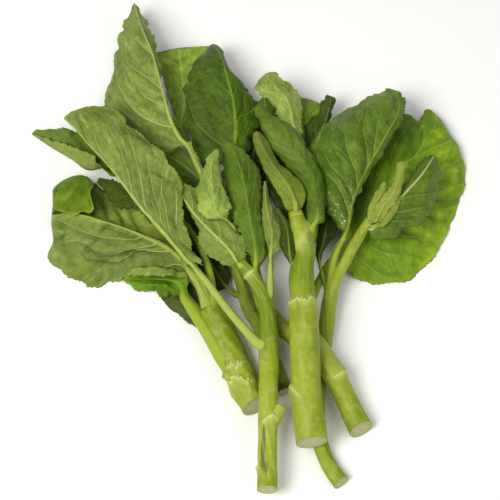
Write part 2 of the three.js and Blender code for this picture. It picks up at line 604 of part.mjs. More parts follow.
    rows: [
      [[-25, 38, 13], [-20, 42, 14], [-16, 47, 13]],
      [[-38, 44, 14], [-32, 52, 17], [-26, 60, 14]],
      [[-50, 54, 15], [-44, 62, 18], [-38, 70, 15]],
      [[-62, 64, 14], [-57, 71, 16], [-52, 79, 14]],
      [[-68, 74, 12], [-66, 77, 13], [-63, 81, 12]],
    ],
  },
  {
    name: "shade_leaf_middle",
    faces: "upper",
    petiole: [[-5, -22, 5.5], [-10, -22, 6.5], [-14, -18, 7.5]],
    radius: [1.8, 1.5, 1.2],
    rib: 1,
    rows: [
      [[-21, -20, 5.5], [-17, -14, 6], [-12, -10, 5.5]],
      [[-31, -8, 5.5], [-25, 0, 6.5], [-19, 5, 5.5]],
      [[-40, 6, 6], [-33, 14, 7], [-26, 20, 6.5]],
      [[-46, 20, 7], [-39, 28, 8.5], [-32, 33, 8]],
      [[-48, 34, 7], [-43, 40, 8], [-38, 43, 7]],
    ],
  },
  {
    name: "shade_leaf_centre",
    faces: "upper",
    petiole: [[3, -9, 16.5], [10, 4, 14], [10, 24, 13], [5, 42, 13]],
    radius: [1.8, 1.5, 1.2],
    rib: 1,
    rows: [
      [[-12, 57, 12], [2, 54, 14], [14, 52, 12]],
      [[-12, 70, 12], [2, 68, 15], [18, 66, 12]],
      [[-9, 82, 12], [4, 82, 15], [18, 82, 12]],
      [[-4, 95, 11], [6, 97, 12], [14, 95, 11]],
    ],
  },
  {
    name: "shade_leaf_front",
    faces: "upper",
    petiole: [[28.4, -15, 28.5], [25.6, -2, 28.6], [24.6, 8, 29.8]],
    radius: [1.7, 1.5, 1.2],
    rib: 1,
    rows: [
      [[21, 15.1, 31], [24.5, 13.9, 31.5], [28.5, 15.5, 30]],
      [[16, 24.7, 32], [24, 22.9, 32.5], [33, 24, 30]],
      [[12.3, 34.7, 32], [21.5, 34, 32.5], [33.5, 34, 30]],
      [[9.6, 44.7, 32], [18.5, 45.2, 32], [30.5, 46.4, 29]],
      [[8.6, 53.6, 31], [15.5, 55.6, 31], [26, 56.6, 28.5]],
      [[8.5, 62.4, 29], [13.5, 63.2, 29.5], [19, 62.8, 28]],
    ],
  },
  // Leaf behind the dark one, lying close to the table.
  {
    name: "top_back_leaf",
    faces: "under",
    petiole: [[-8, -3, 8], [-8, 14, 4.5], [-16, 40, 4.5], [-30, 66, 5.5], [-42, 87, 6.5]],
    radius: [2.4, 2, 1.4],
    rib: 1,
    rows: [
      [[-52, 94, 6], [-45, 94, 8], [-38, 94, 8]],
      [[-50, 104, 5], [-43, 107, 9], [-32, 107, 9]],
      [[-54, 121, 2.6], [-44, 124, 10], [-28, 124, 9]],
      [[-61, 139, 1.1], [-46, 139, 11], [-26, 139, 8]],
      [[-65, 149, 1.1], [-47, 148, 10], [-26, 151, 7]],
    ],
  },
  // Small leaf pressed flat on the table under the fat stalk.
  {
    name: "lowest_leaf",
    faces: "under",
    petiole: [[-7, -63, 4.8], [-13, -55, 2.8], [-19, -45, 2.2]],
    radius: [1.6, 1.4, 1.2],
    rib: 1,
    rows: [
      [[-29.5, -44.8, 1], [-23.5, -42.4, 1.8], [-20, -39.3, 1.4]],
      [[-37.5, -39.5, 0.9], [-29.5, -35.7, 2], [-23, -30.5, 1.4]],
      [[-45.2, -33.1, 0.9], [-36, -27.7, 2], [-29, -21.3, 1.4]],
      [[-52.2, -25.3, 0.9], [-43, -19.7, 2], [-36, -13.2, 2]],
      [[-57.4, -19.2, 1.1], [-49.5, -13.8, 2.2], [-44, -8.3, 2.3]],
    ],
  },
];

// ---- geometry ----

const vector = ([x, y, z]) => new THREE.Vector3(x, y, z);

function smoothCurve(points) {
  return new THREE.CatmullRomCurve3(points, false, "centripetal");
}

// Value of a list of numbers read at t = 0..1, straight between its entries.
function readAlong(values, t) {
  const place = t * (values.length - 1);
  const index = Math.min(Math.floor(place), values.length - 2);
  return THREE.MathUtils.lerp(values[index], values[index + 1], place - index);
}

function toSolid(positions, triangles) {
  const geometry = new THREE.BufferGeometry();
  geometry.setAttribute("position", new THREE.Float32BufferAttribute(positions, 3));
  geometry.setIndex(triangles);
  const merged = mergeVertices(geometry, 1e-3);
  const index = Array.from(merged.index.array);
  const kept = [];
  for (let i = 0; i < index.length; i += 3) {
    const [a, b, c] = index.slice(i, i + 3);
    if (a !== b && b !== c && c !== a) {
      kept.push(a, b, c);
    }
  }
  const mesh = new wasm.Mesh({
    numProp: 3,
    vertProperties: new Float32Array(merged.attributes.position.array),
    triVerts: new Uint32Array(kept),
  });
  return new wasm.Manifold(mesh);
}

// A closed round tube along a path, with flat ends. extra is added to every radius.
function tubeSolid(path, radii, sides, step, extra) {
  const curve = smoothCurve(path);
  const rings = Math.max(path.length, Math.round(curve.getLength() / step)) + 1;
  const positions = [];
  const triangles = [];
  let side = null;
  for (let i = 0; i < rings; i += 1) {
    const t = i / (rings - 1);
    const centre = curve.getPoint(t);
    const along = curve.getTangent(t);
    if (side === null) {
      side = new THREE.Vector3(0, 0, 1).cross(along);
    }
    side.addScaledVector(along, -side.dot(along)).normalize();
    const up = along.clone().cross(side);
    const radius = readAlong(radii, t) + extra;
    for (let k = 0; k < sides; k += 1) {
      const angle = (2 * Math.PI * k) / sides;
      const point = centre.clone();
      point.addScaledVector(side, radius * Math.cos(angle));
      point.addScaledVector(up, radius * Math.sin(angle));
      positions.push(point.x, point.y, point.z);
    }
  }
  for (let i = 0; i < rings - 1; i += 1) {
    for (let k = 0; k < sides; k += 1) {
      const next = (k + 1) % sides;
      const a = i * sides + k;
      const b = i * sides + next;
      triangles.push(a, b, b + sides);
      triangles.push(a, b + sides, a + sides);
    }
  }
  const last = (rings - 1) * sides;
  for (let k = 1; k < sides - 1; k += 1) {
    triangles.push(0, k + 1, k);
    triangles.push(last, last + k, last + k + 1);
  }
  return toSolid(positions, triangles);
}

// The point of one row at u = -1 (left edge) .. 0 (midrib) .. 1 (right edge).
function pointAcross(row, rib, u) {
  const side = u < 0 ? row.slice(0, rib + 1).reverse() : row.slice(rib);
  return smoothCurve(side).getPoint(Math.abs(u));
}

// Sections of the blade: for every row, the points at the places in acrossAt.
function bladeSections(leaf, acrossAt) {
  const moved = vector(leaf.moved ?? [0, 0, 0]);
  return leaf.rows.map((row) => {
    const points = row.map((point) => vector(point).add(moved));
    return acrossAt.map((u) => pointAcross(points, leaf.rib, u));
  });
}

// One closed loop round the petiole: over the top from left to right and back underneath.
function petioleLoop(centre, along, across, radius, count) {
  const side = across.clone().addScaledVector(along, -across.dot(along)).normalize();
  const up = side.clone().cross(along);
  const loop = [];
  for (let k = 0; k < 2 * count - 2; k += 1) {
    const angle = Math.PI * (1 - k / (count - 1));
    const point = centre.clone().addScaledVector(side, radius * Math.cos(angle));
    loop.push(point.addScaledVector(up, radius * Math.sin(angle)));
  }
  return loop;
}

// One closed loop round the blade. The edges are sharp and the midrib stands out on both sides.
function bladeLoop(sections, i, halves, extra) {
  const section = sections[i];
  const before = sections[Math.max(i - 1, 0)];
  const after = sections[Math.min(i + 1, sections.length - 1)];
  const last = section.length - 1;
  const normals = section.map((_, j) => {
    const forward = after[j].clone().sub(before[j]);
    const normal = new THREE.Vector3();
    for (const k of [Math.max(j - 1, 0), Math.min(j, last - 1)]) {
      const across = section[k + 1].clone().sub(section[k]);
      normal.add(across.cross(forward).normalize());
    }
    return normal.normalize();
  });
  const widened = section.map((point) => point.clone());
  widened[0].addScaledVector(section[0].clone().sub(section[1]).normalize(), extra);
  widened[last].addScaledVector(section[last].clone().sub(section[last - 1]).normalize(), extra);
  const offset = (j, way) => {
    const half = halves[j] === 0 ? 0 : halves[j] + extra;
    return widened[j].clone().addScaledVector(normals[j], way * half);
  };
  const over = section.map((_, j) => offset(j, 1));
  const under = section.slice(1, last).map((_, j) => offset(j + 1, -1));
  return [...over, ...under.reverse()];
}

// One leaf as a single loft: round petiole, blade with its midrib, and a pointed tip.
function leafSolid(leaf, extra) {
  const spans = Math.max(leaf.rib, leaf.rows[0].length - 1 - leaf.rib);
  const acrossAt = LEAF_PLACES[Math.min(spans, LEAF_PLACES.length) - 1];
  const sections = bladeSections(leaf, acrossAt);
  const across = sections[0].at(-1).clone().sub(sections[0][0]);
  const petiole = smoothCurve(leaf.petiole.map(vector));
  const loops = leaf.petiole.map((point, i) => {
    const t = i / (leaf.petiole.length - 1);
    const radius = readAlong(leaf.radius, t) + extra;
    return petioleLoop(vector(point), petiole.getTangent(t), across, radius, acrossAt.length);
  });
  const middle = (acrossAt.length - 1) / 2;
  sections.forEach((section, i) => {
    const fade = (i + 1) / sections.length;
    const ribRadius = THREE.MathUtils.lerp(leaf.radius.at(-1), MIDRIB_END_RADIUS, fade);
    const leftWidth = section[0].distanceTo(section[middle]);
    const rightWidth = section.at(-1).distanceTo(section[middle]);
    const halves = acrossAt.map((u, j) => {
      if (j === middle) {
        return Math.min(ribRadius, THINNEST_SHARE * Math.min(leftWidth, rightWidth));
      }
      const thin = THINNEST_SHARE * (j < middle ? leftWidth : rightWidth);
      return Math.abs(u) === 1 ? 0 : Math.min(BLADE_THICKNESS / 2, thin);
    });
    loops.push(bladeLoop(sections, i, halves, extra));
  });
  const reach = sections.at(-1)[middle].clone().sub(sections.at(-2)[middle]);
  const tip = sections.at(-1)[middle].clone().addScaledVector(reach, TIP_REACH);
  return loftSolid(loops, tip, Math.round(ROWS_PER_STATION * (loops.length - 1)));
}

// Closed loft through loops of points, flat at the first loop and running to one point after the last.
function loftSolid(loops, tip, rowCount) {
  const sides = loops[0].length;
  const columns = loops[0].map((_, k) => smoothCurve(loops.map((loop) => loop[k])));
  const positions = [];
  for (let i = 0; i <= rowCount; i += 1) {
    for (const column of columns) {
      positions.push(...column.getPoint(i / rowCount).toArray());
    }
  }
  positions.push(...tip.toArray());
  const triangles = [];
  for (let i = 0; i < rowCount; i += 1) {
    for (let k = 0; k < sides; k += 1) {
      const a = i * sides + k;
      const b = i * sides + ((k + 1) % sides);
      // The underside takes the top's diagonals, so that a twisted blade stays clear of itself.
      if (k < sides / 2) {
        triangles.push(a, b, b + sides, a, b + sides, a + sides);
      } else {
        triangles.push(a, b, a + sides, b, b + sides, a + sides);
      }
    }
  }
  const last = rowCount * sides;
  for (let k = 0; k < sides; k += 1) {
    triangles.push(last + k, last + ((k + 1) % sides), positions.length / 3 - 1);
  }
  for (let k = 1; k < sides - 1; k += 1) {
    triangles.push(0, k + 1, k);
  }
  return toSolid(positions, triangles);
}

function stalkSolid(stalk, extra) {
  const branches = [stalk, ...(stalk.branches ?? [])];
  const tubes = branches.map(({ path, radius }) => (
    tubeSolid(path.map(vector), radius, STALK_SIDES, STALK_STEP, extra)
  ));
  return tubes.reduce((joined, tube) => joined.add(tube));
}

// ---- laying the pieces ----

function boxesMeet(a, b) {
  return [0, 1, 2].every((axis) => a.min[axis] <= b.max[axis] && b.min[axis] <= a.max[axis]);
}

function largestBody(solid) {
  const bodies = solid.decompose();
  return bodies.reduce((best, body) => (body.volume() > best.volume() ? body : best));
}

function toGeometry(solid) {
  const { vertProperties, triVerts } = solid.getMesh();
  const geometry = new THREE.BufferGeometry();
  geometry.setAttribute("position", new THREE.BufferAttribute(new Float32Array(vertProperties), 3));
  geometry.setIndex(new THREE.BufferAttribute(new Uint32Array(triVerts), 1));
  geometry.computeVertexNormals();
  return geometry;
}

const pieces = [
  ...STALKS.map((spec) => ({ spec, colour: COLOURS.stalk, build: stalkSolid })),
  ...LEAVES.map((spec) => ({ spec, colour: COLOURS[spec.faces], build: leafSolid })),
];

const bunch = new THREE.Group();
bunch.position.fromArray(BUNCH_ORIGIN).negate();

const laid = [];
for (const { spec, colour, build } of pieces) {
  let solid = build(spec, 0);
  for (const earlier of laid) {
    if (boxesMeet(solid.boundingBox(), earlier.boundingBox())) {
      solid = solid.subtract(earlier);
    }
  }
  solid = largestBody(solid.simplify(SIMPLIFY_TO));
  laid.push(build(spec, GAP));
  const material = new THREE.MeshStandardMaterial({ color: colour, roughness: 0.6, metalness: 0 });
  const mesh = new THREE.Mesh(toGeometry(solid), material);
  mesh.name = spec.name;
  bunch.add(mesh);
}

export default bunch;
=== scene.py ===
"""Chinese mustard greens: the finish of a loose bunch of cut stalks and leaves lying on a table.

Lengths are millimetres in the layout of the bunch; ORIGIN is the point of that layout which is the
frame's origin. Each stalk and leaf of the frame is replaced by a finer mesh lofted over the same
points. A leaf is one closed skin: a round petiole, then rows across the blade. Its own upper side
(dark, veins sunken) and underside (pale, veins raised) have separate materials.
"""

import math
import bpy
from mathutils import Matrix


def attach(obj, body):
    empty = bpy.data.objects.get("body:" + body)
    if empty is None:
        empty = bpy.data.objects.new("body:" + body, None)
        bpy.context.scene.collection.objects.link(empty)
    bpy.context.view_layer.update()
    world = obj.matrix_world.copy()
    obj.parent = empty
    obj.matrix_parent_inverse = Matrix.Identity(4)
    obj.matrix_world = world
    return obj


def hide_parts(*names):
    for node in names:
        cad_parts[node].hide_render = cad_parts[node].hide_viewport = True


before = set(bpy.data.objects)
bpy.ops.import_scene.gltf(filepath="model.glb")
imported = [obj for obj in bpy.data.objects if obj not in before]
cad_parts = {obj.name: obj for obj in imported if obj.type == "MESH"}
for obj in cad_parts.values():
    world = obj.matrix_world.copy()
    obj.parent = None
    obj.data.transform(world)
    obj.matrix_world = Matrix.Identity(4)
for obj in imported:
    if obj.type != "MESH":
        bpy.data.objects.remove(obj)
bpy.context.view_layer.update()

from types import SimpleNamespace

import bpy
import numpy as np
from mathutils import Vector

MM = 0.001
ORIGIN = np.array([0.0, 17.6, 0.185])
LAYOUT_FLOOR = 0.25  # nothing of the bunch reaches lower in the layout

# ---- stalks: middle of the tube and its radius, from the cut end upwards ----
# cut_lean is in degrees, tender as in TENDER below, and cut_end says that the upper end is cut too.
# A bruise is (distance from the cut, angle, half length, half width in degrees); angles are in degrees
# from the top of the stalk. The step of a leaf scar stands `at` from the cut; spread is its half width
# in degrees, rise and drop the lengths over which the stalk swells before the step and falls after it,
# jag its raggedness, vee how much lower it stands at its sides, glow how far below it the stalk is pale.

STALKS = [dict(
    name="centre_stalk", cut_lean=17, tender=(80, 100),
    path=[(36, -119, 20), (34.5, -104, 22.5), (33, -85, 25), (32.3, -58, 30), (31.6, -36, 31.5),
        (31, -21, 32), (31.7, -12.5, 32.2), (33.2, -6, 32.6), (33.4, 2, 33.2), (35.4, 7.6, 34.2),
        (36.7, 12.2, 35.2)],
    radius=[8.2, 8, 7.7, 7.6, 7.6, 7.5, 7, 6.3, 6.2, 4.8, 3.6],
    scars=[
        dict(at=34, angle=-75, height=1.4, spread=48, rise=14, drop=1, jag=0.5, vee=7, glow=4),
        dict(at=84, angle=0, height=1.3, spread=180, rise=400, drop=0.6, jag=0.9, glow=3),
    ],
    branches=[
        dict(path=[(33, -4, 32.8), (31.4, 3, 34.2), (29.4, 11, 36.4), (27.7, 19, 38.2)],
             radius=[5.2, 5.2, 4.9, 4.5]),
    ],
), dict(
    name="front_stalk", cut_lean=15, tender=(68, 105),
    path=[(10, -146, 16), (10.2, -120, 18.5), (10.6, -98, 21.3), (11, -80, 22.5), (11.3, -62, 23.5),
        (10.8, -46, 24.5), (9.5, -36, 25.5), (6.5, -27, 26.5), (1, -18, 27.5), (-4, -12, 28.5),
        (-8, -7, 30)],
    radius=[6.1, 5.5, 5.8, 5.8, 6, 5.3, 5, 4.4, 3.8, 3.6, 2.8],
    bruises=[(20, -28, 10, 16), (31, -22, 6, 10), (12, -10, 5, 12)],
    scars=[
        dict(at=44, angle=25, height=0.9, spread=60, rise=12, drop=1.5, jag=0.3, vee=5, glow=6),
        dict(at=13, angle=-80, height=0.9, spread=30, rise=6, drop=0.5, jag=0.6),
        dict(at=133, angle=0, height=0.5, spread=180, rise=7, drop=5, jag=0.1, glow=5),
    ],
    stubs=[
        dict(path=[(13.5, -108, 20), (16.5, -103, 22.5), (18.5, -98.5, 24)],
             radius=[2.6, 3, 2.4]),
    ],
), dict(
    name="back_stalk", cut_lean=14,
    path=[(53.5, -139.5, 5.2), (49, -133, 5.2), (45, -125.5, 5.2), (41.5, -114, 5.2), (40, -100, 5.2),
        (42, -75, 5.4), (44.5, -62, 6), (46, -50, 8), (48.5, -30, 12), (51, -18, 15), (56.5, -9, 17),
        (61.5, 0, 20), (67, 9, 24), (73, 18, 28)],
    radius=[4.9, 4.8, 4.7, 4.7, 4.7, 4.7, 4.7, 4.7, 4.6, 4.4, 3.5, 3.3, 3.1, 2.8],
), dict(
    name="right_stalk", cut_lean=20,
    path=[(66, -108, 7.5), (59, -93, 9), (54, -83, 11.8), (49, -74, 15), (43.5, -65.5, 16.4),
        (38, -60, 16.2), (31, -55.5, 14.6), (20, -46, 11.8), (11, -35, 11), (5, -20, 13), (2, -6, 18)],
    radius=[7.3, 6.9, 6.6, 6.4, 5.9, 5.6, 5.4, 5.2, 5, 4.4, 3.8],
    scars=[
        dict(at=36, angle=50, height=1.3, spread=75, rise=7, drop=5, jag=0.3, glow=5),
    ],
    branches=[
        dict(path=[(50, -75, 14), (45, -66, 15.5), (40, -57, 16.8), (35, -48, 17), (31, -40, 16.5)],
             radius=[5.8, 5.2, 4.8, 4.2, 3.2]),
    ],
), dict(
    name="left_stalk", cut_lean=14, cut_end=True,
    path=[(3.5, -94, 9), (-1.5, -84, 9.2), (-7, -72, 9.8), (-12.5, -60, 11.3), (-18.5, -46, 12.8),
        (-23, -37.5, 14), (-25, -34, 14.5)],
    radius=[8.8, 9.2, 9.4, 9, 8.6, 7.8, 6.8],
    scars=[
        dict(at=20, angle=-40, height=1.8, spread=70, rise=10, drop=0.8, jag=2.2, vee=7, glow=5),
        dict(at=26, angle=-10, height=0.5, spread=40, rise=5, drop=0.8, jag=2, vee=-3),
    ],
    stubs=[
        dict(path=[(-9, -78, 12), (-12.5, -77, 12.6), (-16.5, -76.5, 13)],
             radius=[2.8, 2, 0.6]),
    ],
), dict(
    name="under_stalk", cut_lean=10,
    path=[(21, -84, 4.7), (14, -62, 4.7), (6, -44, 4.8), (-2, -28, 5), (-6, -13, 6), (-10, 2, 9)],
    radius=[4.4, 4.3, 4.2, 4, 3.8, 3.4],
    bruises=[(0, 0, 6, 160)],
)]

# ---- leaves: petiole middle and radius from the stalk upwards, then rows from left to right edge ----
# rib is the place of the midrib in a row; faces says which side of the leaf is turned up. The other
# settings are those of LEAF_LOOK.

BUD_LEAFLET = dict(
    step=0.45, vein=0.2, pucker=0, ruffle=0.35, crinkle=0.05, rolling=0.2, reach=1.8, rib_end=0.2,
    upper="bud", under="bud")

LEAVES = [dict(
    name="bud_leaf_long", faces="under", rib=1, **BUD_LEAFLET, veins=4, ruffle_period=9, tooth=2.6,
    tooth_period=2.6, stem=0.72, thinning=0.9, shade=0.86, rib_show=0.7,
    petiole=[(72.3, 15.5, 27.8), (73.9, 17, 29.6)],
    radius=[2.4, 2, 1.6],
    rows=[
        [(74, 17.4, 31.5), (77, 16.7, 33), (80, 15.9, 31.5)],
        [(76, 24.7, 33), (80.5, 23.2, 35.5), (85, 21.5, 33.5)],
        [(81, 31.8, 34), (85, 29.3, 36.5), (89, 27.1, 34.5)],
        [(86, 38.1, 34.5), (89.5, 36.1, 37), (92.3, 34.4, 35)],
        [(89.8, 45.1, 34.5), (92, 44.3, 36.5), (94.8, 43.9, 35)],
        [(91, 53.3, 34), (93.5, 52.9, 35), (96.3, 53.8, 34)],
    ],
), dict(
    name="bud_leaf_left", faces="under", rib=1, **BUD_LEAFLET, veins=3, ruffle_period=8, tooth=2.3,
    tooth_period=2.4, stem=0.6, thinning=1.2, shade=0.82, rib_show=0.4,
    petiole=[(70.5, 15, 27), (71, 17, 28.6)],
    radius=[1.6, 1.4, 1.1],
    rows=[
        [(71.3, 16.7, 29.5), (73.5, 16.2, 30.7), (75.6, 16.1, 29.6)],
        [(71.8, 23.8, 30.5), (75.5, 23, 32.3), (78.6, 22.6, 31)],
        [(75, 31.6, 31), (79, 30.7, 33), (82.2, 29.9, 31.5)],
        [(79.5, 38.9, 31.5), (82, 37.8, 32.8), (84.6, 36.8, 31.6)],
        [(82, 42.6, 31), (83.5, 41.8, 31.6), (85, 41.1, 31)],
    ],
), dict(
    name="bud_leaf_right", faces="under", rib=1, **BUD_LEAFLET, veins=3, ruffle_period=8, tooth=2.3,
    tooth_period=2.4, stem=0.6, thinning=1.2, shade=0.78, rib_show=0.4,
    petiole=[(74.5, 13.8, 27.8), (77, 14, 29.6)],
    radius=[1.6, 1.4, 1.1],
    rows=[
        [(78.4, 14.6, 31), (80.3, 13.6, 32), (82, 12.9, 31)],
        [(82.3, 21, 32), (84.8, 18.7, 33.6), (87, 17.7, 32)],
        [(86.3, 26.9, 32.5), (88.8, 25.1, 34), (91, 24.4, 32.5)],
        [(90.3, 32.5, 32.5), (91.7, 31.7, 33.2), (93, 30.9, 32.6)],
    ],
), dict(
    name="front_left_leaf", faces="under", rib=1, moved=(2, -6, 0), veins=5, lean=0.7, bend=0.9,
    ruffle=0.6, crinkle=0.15, pucker=1.3, pillow=5, tooth=1.7, tooth_period=3.4, step=0.8, lobe=1.6,
    auto=0.25, auto_show=0.35, shade=0.95, rib_end=0.45, thinning=1.6, flare=0.8,
    petiole=[(11.3, -62, 23.5), (5, -60, 25), (-3, -52, 26.5), (-14, -39, 28), (-26, -23, 30),
        (-36, -11, 32.5)],
    radius=[3.6, 2.6, 1.9],
    rows=[
        [(-42.5, -7.5, 29.5), (-40, -3, 33), (-35, -5, 33), (-30, -7, 31)],
        [(-48, 10, 25), (-54, 13, 37), (-45, 9, 36), (-38, 6, 34)],
        [(-64, 30, 25), (-72, 33, 41), (-57, 28, 42), (-42, 24, 38)],
        [(-80, 50, 24), (-88, 54, 43), (-66, 49, 45), (-44, 43, 41)],
        [(-92, 64, 24), (-102, 70, 42), (-78, 67, 47), (-54, 62, 43)],
        [(-102, 76, 26), (-111, 82, 39), (-91, 82, 43), (-71, 79, 42)],
        [(-113, 87, 30), (-117, 90, 36), (-104, 92.5, 40), (-86.5, 94.3, 39)],
        [(-119.6, 92.1, 33.5), (-115.2, 94.3, 35.5), (-110, 95.9, 37), (-104, 97.4, 37.8)],
    ],
    bites=[(1, 189, 2, 5.5), (1, 178, 1.6, 1.4), (1, 164, 1.6, 1.2), (1, 197, 1.4, -1.2)],
    lines=[
        [(0, 112), (2, 128), (8, 142), (14, 156), (19, 170), (21, 186)],
        [(1, 106), (4, 118), (13, 136), (19, 150), (28, 170), (32, 184)],
        [(1, 92), (5, 104), (13, 119), (20, 137), (28, 153), (36, 168)],
        [(1, 78), (5, 96), (19, 121), (25, 136), (34, 150)],
        [(20, 112), (30, 128), (40, 146)],
        [(0, 138), (2, 152), (4, 164), (10, 182)],
    ],
    creases=[(6, 128, 22, 172, 2.5, 2.2), (9, 110, 27, 156, 2.8, 2.2), (8, 92, 30, 132, 2.5, 1.8),
        (1, 84, 12, 104, 2, 1), (34, 150, 44, 178, 2.5, 1.6)],
), dict(
    name="front_small_leaf", faces="under", rib=1, veins=5, vein=0.3, ridge=0.2, tooth=2,
    tooth_period=3.4, step=0.6, ruffle=0.7, auto_show=0.6, thinning=0.8, stem=0.7, shade=1.05,
    petiole=[(-5, -12.6, 29.8), (-7.2, -11, 31.5)],
    radius=[2.4, 2.2, 1.5],
    rows=[
        [(-13.5, -13.4, 31), (-8.2, -10.3, 33), (-4.5, -9.9, 32.5)],
        [(-21.5, -9, 30.5), (-11.6, -4.9, 34.5), (-2.2, -4.6, 31.5)],
        [(-28.8, -1.9, 30.5), (-17, 1, 35.5), (-2, 3.7, 32)],
        [(-32.2, 4.8, 30.5), (-22, 5.6, 37), (-8, 8, 33.5)],
        [(-31.2, 11.9, 31.5), (-28, 11.5, 38), (-15.5, 17.2, 35.5)],
        [(-36, 19, 33.5), (-34.5, 19, 38.5), (-24, 24.5, 36)],
        [(-41.5, 28.6, 34.5), (-40.5, 28.6, 38.3), (-31.5, 35, 36)],
        [(-46, 36.9, 35.5), (-45.2, 37.1, 37), (-40, 38.4, 36.8)],
    ],
), dict(
    name="small_pale_leaf", faces="under", rib=1, veins=5, vein=0.3, ridge=0.2, crinkle=0.3, tooth=2.6,
    tooth_period=3.6, step=0.6, ruffle=0.6, rib_show=0.15, auto_show=0.4, stem=0.65, rib_end=0.12,
    thinning=1.2, shade=1.5,
    petiole=[(-3.5, -2, 24), (-6.5, 6, 27.5), (-10.5, 12, 33.5), (-14.8, 14.2, 40)],
    radius=[1.6, 1.4, 1.1],
    rows=[
        [(-25, 14.1, 40.7), (-18.8, 14.7, 44.2), (-12.3, 18.2, 41.7)],
        [(-31.6, 20.6, 40.7), (-21, 20.2, 46.7), (-10, 21.4, 41.7)],
        [(-32.8, 27.6, 40.7), (-22.3, 26.6, 48.2), (-12.3, 27, 42.2)],
        [(-32.6, 35.1, 40.7), (-23, 33.4, 48.7), (-16.3, 33.8, 42.7)],
        [(-31.3, 41.8, 40.2), (-23.4, 40.1, 48.2), (-18.3, 40.9, 43.7)],
        [(-28.8, 49.7, 39.2), (-23.4, 47.4, 46.2), (-18.8, 48.8, 42.7)],
        [(-25.6, 56.6, 38.2), (-22.4, 54.9, 43.7), (-19.2, 55.7, 41.7)],
        [(-23.2, 60.3, 38.2), (-21, 59.9, 40.7), (-19.3, 60, 39.7)],
    ],
), dict(
    name="sheath_leaf", faces="under", rib=1, veins=4, vein=0.3, pucker=0.4, crinkle=0.2, ruffle=0.5,
    tooth=0.6, under="under_green", rib_show=0.25, lean=0.6, shade=0.82, foot=(1.5, 1.42, 1.3),
    petiole=[(28, 17.5, 38.4), (27.3, 20.5, 40)],
    radius=[4, 3, 1.6],
    rows=[
        [(23.5, 20, 39.9), (27.8, 19.5, 42.3), (32, 21.2, 39.3)],
        [(19.5, 26.1, 39.5), (26.8, 25.8, 43.5), (34, 29, 38.5)],
        [(15, 34.1, 39.5), (23.8, 33.5, 43.5), (32.5, 36.5, 38.5)],
        [(11, 42.1, 39.5), (19.2, 41.3, 43.5), (27.5, 44, 38.5)],
        [(7, 51.1, 39.5), (13.5, 49.5, 43.5), (20, 51.5, 38.5)],
        [(4, 59.1, 39.5), (9.5, 57.5, 43.5), (15, 59.5, 38.5)],
        [(1.5, 67, 39.7), (6, 66, 42.9), (10.5, 67.9, 38.9)],
        [(2, 71.9, 40.1), (4.5, 71.5, 41.7), (7, 72.5, 39.7)],
    ],
), dict(
    name="rolled_leaf", faces="upper", rib=2, veins=7, vein=0.3, pucker=1.6, crinkle=0.6, rib_show=0,
    vein_show=0.15, rib_end=0.12, shade=0.95,
    petiole=[(36.9, 9.6, 36.2), (38.5, 11, 38.8)],
    radius=[3.2, 2.4, 1.4],
    rows=[
        [(35.5, 13.1, 36.5), (37.4, 13.5, 39.8), (40.4, 13.8, 41.5), (43.4, 13.3, 40.2),
         (45.4, 13.4, 36)],
        [(34.6, 21.6, 34.7), (37, 21, 39.9), (40.8, 20.8, 42.7), (44.4, 21.1, 40.7), (46.8, 22.4, 33.9)],
        [(33.2, 32, 33.5), (35.8, 30.9, 40), (39.8, 31, 43.5), (43.6, 32, 41), (46.2, 34.5, 32.5)],
        [(30.6, 41.5, 33.5), (33.6, 40.9, 40), (38, 41.5, 43.5), (42.4, 43, 41), (45, 46, 32.5)],
        [(25.4, 50.5, 33.5), (28.6, 49.9, 40), (33.4, 51, 43.5), (38.4, 52.5, 41), (41.4, 55.5, 32.5)],
        [(17.8, 58, 33.5), (21.4, 57.7, 40), (26.8, 59, 43.5), (33.4, 61.8, 41), (37.4, 65.5, 32.5)],
        [(12, 65.5, 33.5), (15.2, 64.7, 40), (20.4, 66.3, 43.5), (27.2, 70, 41), (31.6, 74.8, 32.5)],
        [(8.2, 74.1, 34.7), (10.4, 73.3, 39.9), (14.2, 74.3, 42.7), (19.4, 77.8, 40.7),
         (22.8, 81.9, 33.9)],
        [(5, 82.8, 36.5), (6.2, 82.2, 39.8), (8.4, 82.9, 41.5), (11.4, 85.4, 40.2), (13.6, 88.3, 36)],
        [(3.4, 89.1, 38.3), (4, 88.9, 39.6), (5, 89.4, 40.3), (6.4, 90.8, 39.8), (7.4, 92.3, 38.1)],
    ],
), dict(
    name="front_curled_leaf", faces="under", rib=1, veins=3, vein=0.25, pucker=0.4, rib_show=0.4,
    tooth=1.2, tooth_period=5, ruffle=0.5, step=0.8,
    petiole=[(9.5, -37, 25.3), (12, -29, 27), (12.2, -18, 30), (12.6, -7, 34.5)],
    radius=[2.8, 2.2, 1.2],
    rows=[
        [(9.2, 3.2, 35.8), (13.2, -0.9, 38.4), (17.8, -4.7, 35.2)],
        [(7.3, 9, 36), (13, 5.9, 40), (19.8, 4.4, 35)],
        [(7, 18.5, 36), (11.2, 15.9, 40), (16.6, 14.4, 35)],
        [(7.2, 27.5, 36.1), (9.8, 25.2, 39.3), (13.6, 23.8, 35.3)],
        [(7.8, 34.5, 36.1), (9.4, 32.8, 39), (11.6, 32.2, 35.5)],
        [(8.3, 39.4, 36.3), (9.4, 39.1, 37.9), (10.4, 39.6, 35.9)],
    ],
), dict(
    name="dark_hanging_leaf", faces="upper", rib=1, veins=4, upper="upper_dark", shade=0.6,
    petiole=[(28.5, -19, 34.5), (26.8, -15, 35.5)],
    radius=[1.6, 1.4, 1.1],
    rows=[
        [(22.4, -11.4, 35.4), (24.6, -11.9, 37), (26.4, -10.6, 36.4)],
        [(19.6, -5, 36), (23.6, -5.1, 38), (26.8, -4.4, 37)],
        [(18.8, 5.3, 36.5), (22.8, 5.4, 38.4), (26.4, 6.1, 37.2)],
